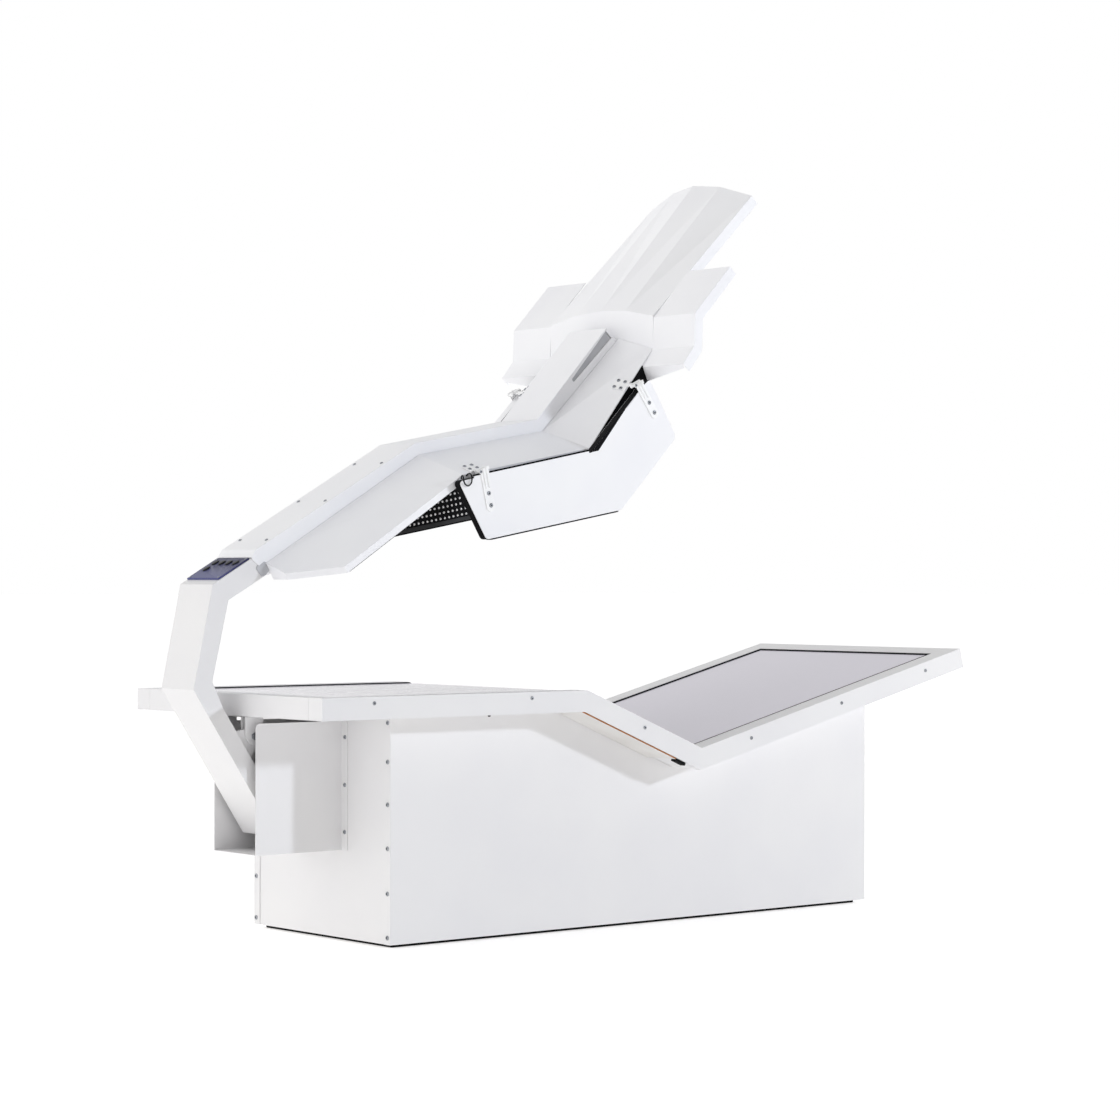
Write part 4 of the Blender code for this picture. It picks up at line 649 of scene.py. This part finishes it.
def rounded_rectangle(half_y, half_z, radius, x, steps=5):
    """A ring across the bed about the inlet's middle."""
    points = []
    for turn, (sy, sz) in enumerate(((1, 1), (-1, 1), (-1, -1), (1, -1))):
        for i in range(steps):
            angle = math.pi / 2 * (turn + i / (steps - 1))
            points.append(place(x, INLET_Y + sy * (half_y - radius) + radius * math.cos(angle),
                                INLET_Z + sz * (half_z - radius) + radius * math.sin(angle)))
    return points


def mains_inlet():
    """A mains inlet with its flange, its recess and three blades, and the two screws that hold it."""
    shell = stacked([rounded_rectangle(half_y, half_z, radius, INLET_FACE - back)
                     for half_y, half_z, radius, back in INLET_PROFILE])
    made = piece("mains_inlet_socket", shell, BLACK, "base", CRISP)
    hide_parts("mains_inlet")
    thick, tall = BLADE_HALF
    blades = []
    for y, z in BLADE_PLACES:
        root = place(INLET_FACE - BLADE_BACK, INLET_Y + y, INLET_Z + z)
        rings = [[root + Vector((x, sy * thick * share, sz * tall * share))
                  for sy, sz in ((-1, -1), (1, -1), (1, 1), (-1, 1))] for x, share in BLADE_TAPER]
        blades.append(stacked(rings))
    piece("mains_inlet_pins", joined(blades), PIN_METAL, "base")
    screws("mains_inlet_screws", INLET_SCREW,
           [(place(INLET_FACE, INLET_Y, INLET_Z + off), TO_HEAD)
            for off in (-INLET_SCREW_OFF, INLET_SCREW_OFF)], "base")


# Canopy

def canopy_fasteners():
    spots = []
    for leg, along in SPINE_SCREWS:
        point, run = on_leg(SPINE, leg, along)
        up = Vector((-run.y, 0.0, run.x))
        spots += [(place(point.x, y, point.y), up) for y in (-SPINE_SCREW_Y, SPINE_SCREW_Y)]
    screws("spine_screws", SPINE_SCREW, spots, "canopy")
    spots = []
    for side, name in SIDES:
        for i in (1, 2):
            toward = Vector((0.0, side * LEAF_OUTWARD, LEAF_UPWARD))
            centre, normal = largest_face(f"{name}_hinge_leaf_{i}", toward)
            inward = Vector((0.0, -side, 0.0))
            inward = (inward - normal * inward.dot(normal)).normalized()
            along = inward.cross(normal)
            spots += [(centre + along * a + inward * b, normal) for a in LEAF_SCREW_ALONG
                      for b in LEAF_SCREW_INWARD]
    screws("hinge_leaf_screws", LEAF_SCREW, spots, "canopy")


def plate_frame():
    """The control plate's frame at its top end: x up the plate, y across the bed and z outward."""
    point, run = on_leg(SPINE, 0, PLATE_TOP_END, PLATE_DROP)
    axes = Matrix(((run.x, 0.0, -run.y), (0.0, 1.0, 0.0), (run.y, 0.0, run.x))).to_4x4()
    axes.translation = place(point.x, 0.0, point.y)
    return axes


def button_oval(along, across, radii):
    """An oval on the control plate, as distances up it and across it."""
    return [(along + p.x * radii[0], across + p.y * radii[1]) for p in ring(1.0, 0.0, BUTTON_SIDES)]


def printed_lines(outlines, laid):
    """Thin lines of ink that follow outlines on the control plate."""
    points, faces = [], []
    for outline in outlines:
        middle = Vector((sum(p[0] for p in outline), sum(p[1] for p in outline))) / len(outline)
        count, start = len(outline), len(points)
        for height in MARK_HEIGHTS:
            for width in (0.0, MARK_WIDTH):
                for x, y in outline:
                    spot = Vector((x, y))
                    spot += (spot - middle).normalized() * width
                    points.append(laid @ Vector((spot.x, spot.y, height)))
        low_in, low_out, top_in, top_out = (start + k * count for k in range(4))
        for i in range(count):
            j = (i + 1) % count
            sides = ((top_in, top_out, i, j), (low_in, low_out, j, i), (low_out, top_out, i, j),
                     (low_in, top_in, j, i))
            faces += [(a + p, a + q, b + q, b + p) for a, b, p, q in sides]
    return points, faces


def controls():
    """Domed oval buttons, the plate's screws, and its printed marks: a ring at each button and a border."""
    laid = plate_frame()
    places = {f"button_{i + 1}": (BUTTON_ROW, (i - (ROW_COUNT - 1) / 2) * BUTTON_PITCH)
              for i in range(ROW_COUNT)}
    places["power_button"] = POWER_BUTTON
    marks = []
    for name, (along, across) in places.items():
        rings = []
        for scale, height in BUTTON_PROFILE:
            oval = button_oval(along, across, [radius * scale for radius in BUTTON_RADII])
            rings.append([laid @ Vector((x, y, height)) for x, y in oval])
        made = piece(f"{name}_cap", stacked(rings), BLACK, name)
        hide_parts(name)
        marks.append(button_oval(along, across, [radius + MARK_CLEAR for radius in BUTTON_RADII]))
    half = PLATE_WIDTH / 2 - BORDER_INSET
    top, low = -BORDER_INSET, BORDER_INSET - PLATE_LENGTH
    marks.append([(top, -half), (top, half), (low, half), (low, -half)])
    piece("control_plate_print", printed_lines(marks, laid), INK, "canopy", CRISP)
    corner, inset = PLATE_WIDTH / 2 - PLATE_SCREW_INSET, PLATE_SCREW_INSET
    outward = laid.to_3x3() @ Vector((0.0, 0.0, 1.0))
    screws("control_plate_screws", PLATE_SCREW,
           [(laid @ Vector((x, y, 0.0)), outward)
            for x in (-inset, inset - PLATE_LENGTH) for y in (-corner, corner)], "canopy")


def spine_liners():
    """Grey sheets behind the slots in the spine's flanks, their colour painted shade for the recess, and a
    white one where they meet under its end.
    """
    line = [on_leg(SPINE, 2, along)[0] for along in FLANK_LINER_ENDS]
    low, high = FLANK_LINER_DROPS
    for side, name in SIDES:
        inner, outer = (side * y for y in FLANK_LINER_Y)
        piece(f"spine_liner_{name}", swept(line, flat_bar(-high, -low, inner, outer)), SLOT_SHADE_GREY, "canopy")
    near, deep = END_LINER_DROPS
    plate = swept(END_LINER, flat_bar(-deep, -near, -END_LINER_HALF, END_LINER_HALF))
    piece("spine_liner_end", plate, CANOPY_COAT, "canopy")


def arm_shade_patches():
    """Grey patches on the boom's flanks, where it enters the spine: painted shade for the shadow of the
    spine's end there.
    """
    corners = [Vector(p) for p in ARM_SHADE_PATCH]
    middle = sum(corners, Vector((0.0, 0.0))) / len(corners)
    outline = []
    for before, corner, after in zip(corners[-1:] + corners[:-1], corners, corners[1:] + corners[:1]):
        start, end = corner.lerp(before, ARM_SHADE_PATCH_CORNER), corner.lerp(after, ARM_SHADE_PATCH_CORNER)
        outline += [start.lerp(corner, t).lerp(corner.lerp(end, t), t) for t in ARM_SHADE_PATCH_STEPS]
    for side, name in SIDES:
        rings = []
        for scale, rise in ARM_SHADE_PATCH_PROFILE:
            shaped = [middle + (p - middle) * scale for p in outline]
            rings.append([place(p.x, side * (ARM_FLANK_Y + rise), p.y) for p in shaped])
        piece(f"arm_shade_patch_{name}", stacked(rings), BOOM_SHADE_GREY, "canopy")


def torso_skirts():
    """Below the shell's edge beside the torso: a white strip on from the lip, and a black seal over it. The
    seal's upper end, under the shoulder wing, is painted shade for the shadow there.
    """
    hip, riser = Vector(HIP_EDGE), Vector(RISER_EDGE)
    line = [hip.lerp(riser, share) for share in SKIRT_ENDS]
    for side, name in SIDES:
        shifts = [side * (RISER_EDGE_Y - HIP_EDGE_Y) * share for share in SKIRT_ENDS]
        back, front = (side * (HIP_EDGE_Y + off) for off in LIP_STRIP_FACES)
        strip = swept(line, flat_bar(-SKIRT_DROP, -LIP_DROP, back, front), shifts)
        piece(f"{name}_lip_strip", strip, CANOPY_COAT, "canopy")
        back, front = (side * (HIP_EDGE_Y + off) for off in SEAL_FACES)
        seal = swept(line, flat_bar(-SKIRT_DROP, -SEAL_DROP, back, front, SEAL_ROUND), shifts)
        piece(f"{name}_light_seal_and_shade", seal, RUBBER, "canopy")


def wing_returns():
    """A sheet edge turned down under each shoulder wing's foot, deeper beside the hood."""
    back_top, back_low = Vector(WING_RETURN_TOP), Vector(WING_RETURN_LOW)
    for side, name in SIDES:
        rings = []
        for y, top, low in WING_RETURN:
            top, low = Vector(top), Vector(low)
            section = (top, low, low + back_low, top + back_top)
            rings.append([place(p.x, side * y, p.y) for p in section])
        piece(f"shoulder_wing_return_{name}", stacked(rings), CANOPY_COAT, "canopy", CRISP)


# Side light panels

def inside_by(point, outline):
    """How far a side view point lies inside an outline, or below zero outside it."""
    nearest, odd = 1.0, False
    for a, b in zip(outline, outline[1:] + outline[:1]):
        edge = b - a
        share = max(0.0, min(1.0, (point - a).dot(edge) / edge.length_squared))
        nearest = min(nearest, (point - a - edge * share).length)
        if (a.y > point.y) != (b.y > point.y):
            odd ^= point.x < a.x + (point.y - a.y) / (b.y - a.y) * edge.x
    return nearest if odd else -nearest


def diode_places():
    """Side view places of a panel's diodes: rows along its lower edge, turned where the panel bends."""
    outline = [Vector(p) for p in PANEL_OUTLINE]
    hip_top, torso_end, hip_low, foot_low = outline[1], outline[5], outline[6], outline[7]
    fold = (hip_top - hip_low).normalized()
    places = []
    for start, end, keep in ((foot_low, hip_low, -1.0), (hip_low, torso_end, 1.0)):
        run = (end - start).normalized()
        rise = Vector((-run.y, run.x))
        for row in DIODE_ROWS:
            for step in DIODE_STEPS:
                point = start + run * DIODE_PITCH * (step + 0.5) + rise * (DIODE_MARGIN + DIODE_PITCH * row)
                beyond = (point - hip_low).x * fold.y - (point - hip_low).y * fold.x
                clear = beyond * keep > DIODE_PITCH * FOLD_CLEAR
                if clear and inside_by(point, outline) >= DIODE_MARGIN - MARGIN_SLACK:
                    places.append(point)
    return places


def panel_diodes():
    dome = stacked([ring(DIODE_RADIUS * share, height, DIODE_SIDES) for share, height in DIODE_DOME])
    spots = diode_places()
    for side, name in SIDES:
        frames = [facing(place(p.x, side * PANEL_INNER_Y, p.y), Vector((0.0, -side, 0.0))) for p in spots]
        piece(f"{name}_panel_diodes", spread(dome, frames), DIODE, f"{name}_side_panel", SOFT)


def panel_bar(line, bar, side):
    """A bar along a line of a panel's side view, with its faces on that side."""
    (low, high), (first, last), cut = bar
    return swept(line, flat_bar(low, high, side * first, side * last, cut))


def panel_edges():
    """Black rails along each panel's lower edges inside, edging under its thigh part, a white strip with a
    black bead on its top edge, and beside the torso a white angle inside its top edge and black trim on its
    skin. On that edge the near panel has a black bead, and the far panel a white cap."""
    foot_top, hip_top, torso_top = (Vector(PANEL_OUTLINE[i]) for i in (0, 1, 2))
    torso_end, hip_low, foot_low = (Vector(PANEL_OUTLINE[i]) for i in (5, 6, 7))
    top_run, low_run = (hip_top - foot_top).normalized(), (hip_low - foot_low).normalized()
    start = foot_low + low_run * RAIL_START
    end = torso_end + (hip_low - torso_end).normalized() * RAIL_END
    top_line = [foot_top + top_run * along for along in TOP_EDGE_ENDS]
    torso_line = [hip_top, torso_top]
    angle_line = [hip_top - top_run * ANGLE_START, *torso_line]
    bars = (("rail", [start, hip_low, end], PANEL_RAIL, BLACK, "light_board"),
            ("edging", [start, hip_low - low_run * EDGING_END], PANEL_EDGING, RUBBER, "black_rubber"),
            ("top_strip", top_line, TOP_STRIP, SKIN_COAT, "white_aluminium"),
            ("top_bead", top_line, TOP_BEAD, RUBBER, "black_rubber"),
            ("angle", angle_line, TORSO_ANGLE, SKIN_COAT, "white_aluminium"))
    for side, name in SIDES:
        body = f"{name}_side_panel"
        for part, line, bar, material, slot in bars:
            piece(f"{name}_panel_{part}", panel_bar(line, bar, side), material, body, CRISP)
        trim = stacked([[place(x, side * y, z) for x, z in TORSO_TRIM] for y in TORSO_TRIM_FACES])
        piece(f"{name}_panel_torso_trim", trim, RUBBER, body, CRISP)
    bead = panel_bar([hip_top, hip_top.lerp(torso_top, TORSO_BEAD_END)], TORSO_BEAD, -1)
    piece("near_panel_torso_bead", bead, RUBBER, "near_side_panel", CRISP)
    cap = panel_bar(torso_line, TORSO_CAP, 1)
    piece("far_panel_cap", cap, SKIN_COAT, "far_side_panel", CRISP)


def strap_details():
    """Screws on the hinge straps and their cross heads, and two raised ribs down each strap."""
    hinge_run = (Vector(KNUCKLES[1]) - Vector(KNUCKLES[0])).normalized()
    for side, name in SIDES:
        body = f"{name}_side_panel"
        outward = Vector((0.0, side, 0.0))
        back, front = (side * y for y in RIB_FACES)
        spots, ribs = [], []
        for knuckle, end in zip(KNUCKLES, STRAP_ENDS):
            top, foot = Vector(knuckle), Vector(end)
            spots += [top.lerp(foot, share) for share in STRAP_SCREWS]
            line = [top.lerp(foot, share) for share in STRAP_RIB_ENDS]
            ribs += [swept(line, flat_bar(off - RIB_HALF, off + RIB_HALF, back, front, RIB_ROUND))
                     for off in STRAP_RIBS]
        pins = [Vector(knuckle) - hinge_run * KNUCKLE_SCREW_BACK for knuckle in KNUCKLES]
        for kind, radius, points in (("strap", STRAP_SCREW, spots), ("knuckle", KNUCKLE_SCREW, pins)):
            places = [(place(p.x, side * STRAP_FACE_Y, p.y), outward) for p in points]
            screws(f"{name}_{kind}_screws", radius, places, body)
        piece(f"{name}_strap_ribs", joined(ribs), HINGE_COAT, body, CRISP)


def panel_leads():
    """A thin lead from the shell's lip to each panel, looped over the panel's top edge."""
    for side, name in SIDES:
        route = smooth_route([place(x, side * y, z) for x, y, z in LEAD_POINTS], LEAD_STEPS)
        lead = piece(f"{name}_panel_lead", tube(route, LEAD_RADIUS), INSULATION, None, SOFT)
        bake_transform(lead)


# Studio

def paper_floor():
    """The level part of the white paper, which glows a little so that it stays white."""
    floor = bpy.data.meshes.new("floor")
    corners = ((-1, -1), (1, -1), (1, 1), (-1, 1))
    floor.from_pydata([(x * FLOOR_REACH, y * FLOOR_REACH, 0.0) for x, y in corners], [], [(0, 1, 2, 3)])
    ground = bpy.data.objects.new("studio_floor", floor)
    bpy.context.scene.collection.objects.link(ground)
    white, _, shader = finish("studio_floor_white", PAPER, 0.9)
    shader.inputs["Specular IOR Level"].default_value = 0.0
    shader.inputs["Emission Color"].default_value = linear(GLOW_COLOUR)
    shader.inputs["Emission Strength"].default_value = FLOOR_GLOW
    floor.materials.append(white)


def cyclorama():
    """White paper all round for the camera, while what lights the bed fades towards the room."""
    world = bpy.data.worlds.new("studio")
    bpy.context.scene.world = world
    world.use_nodes = True
    tree = world.node_tree
    tree.nodes.clear()
    where = add(tree, "ShaderNodeTexCoord")
    towards = add(tree, "ShaderNodeVectorMath", [(0, where, "Generated")], operation="DOT_PRODUCT",
                  in_1=ROOM_DIRECTION)
    level = add(tree, "ShaderNodeMapRange", [("Value", towards, "Value")], in_From_Min=ROOM_FROM,
                in_From_Max=ROOM_TO, in_To_Min=CYCLORAMA_LIGHT, in_To_Max=ROOM_LIGHT)
    room = add(tree, "ShaderNodeBackground", [("Strength", level, "Result")])
    paper = add(tree, "ShaderNodeBackground", in_Strength=1.0, in_Color=linear(PAPER))
    rays = add(tree, "ShaderNodeLightPath")
    both = add(tree, "ShaderNodeMixShader", [(0, rays, "Is Camera Ray"), (1, room, "Background"),
                                             (2, paper, "Background")])
    add(tree, "ShaderNodeOutputWorld", [("Surface", both, "Shader")])


def lamps():
    key = bpy.data.lights.new("key", "SUN")
    key.energy = KEY_LIGHT
    key.color = linear(KEY_COLOUR)[:3]
    key.angle = math.radians(KEY_SPREAD)
    lamp = bpy.data.objects.new("key", key)
    lamp.rotation_mode = "QUATERNION"
    lamp.rotation_quaternion = Vector(KEY_DIRECTION).to_track_quat("Z", "Y")
    bpy.context.scene.collection.objects.link(lamp)
    for name, at, size, turn, watts in SOFT_LAMPS:
        soft = bpy.data.lights.new(name, "AREA")
        soft.shape = "RECTANGLE"
        soft.size, soft.size_y = size
        soft.energy = watts
        panel = bpy.data.objects.new(name, soft)
        panel.location = place(*at)
        panel.rotation_euler = (math.pi / 2, 0.0, math.radians(turn))
        bpy.context.scene.collection.objects.link(panel)


def camera_stand():
    yaw, pitch, roll = (math.radians(a) for a in (CAMERA_YAW, CAMERA_PITCH, CAMERA_ROLL))
    ahead = Vector((math.sin(yaw) * math.cos(pitch), math.cos(yaw) * math.cos(pitch), math.sin(pitch)))
    right = Vector((math.cos(yaw), -math.sin(yaw), 0.0))
    up = right.cross(ahead)
    turned = right * math.cos(roll) + up * math.sin(roll)
    above = up * math.cos(roll) - right * math.sin(roll)
    stand = Matrix((turned, above, -ahead)).transposed().to_4x4()
    stand.translation = place(*CAMERA_AT)
    lens = bpy.data.cameras.new("camera")
    lens.sensor_width = SENSOR
    lens.lens = SENSOR * FOCAL_PIXELS / PHOTO_PIXELS
    lens.clip_end = VIEW_REACH
    camera = bpy.data.objects.new("camera", lens)
    camera.matrix_world = stand
    bpy.context.scene.collection.objects.link(camera)
    bpy.context.scene.camera = camera
    bpy.context.scene.view_settings.view_transform = "Standard"


paper_floor()
cyclorama()
lamps()
camera_stand()
panel_leads()
cabinet_fasteners()
levelling_feet()
plinth_painted_shade_strip()
overhang_lining()
mains_inlet()
canopy_fasteners()
controls()
spine_liners()
arm_shade_patches()
torso_skirts()
wing_returns()
panel_diodes()
panel_edges()
strap_details()
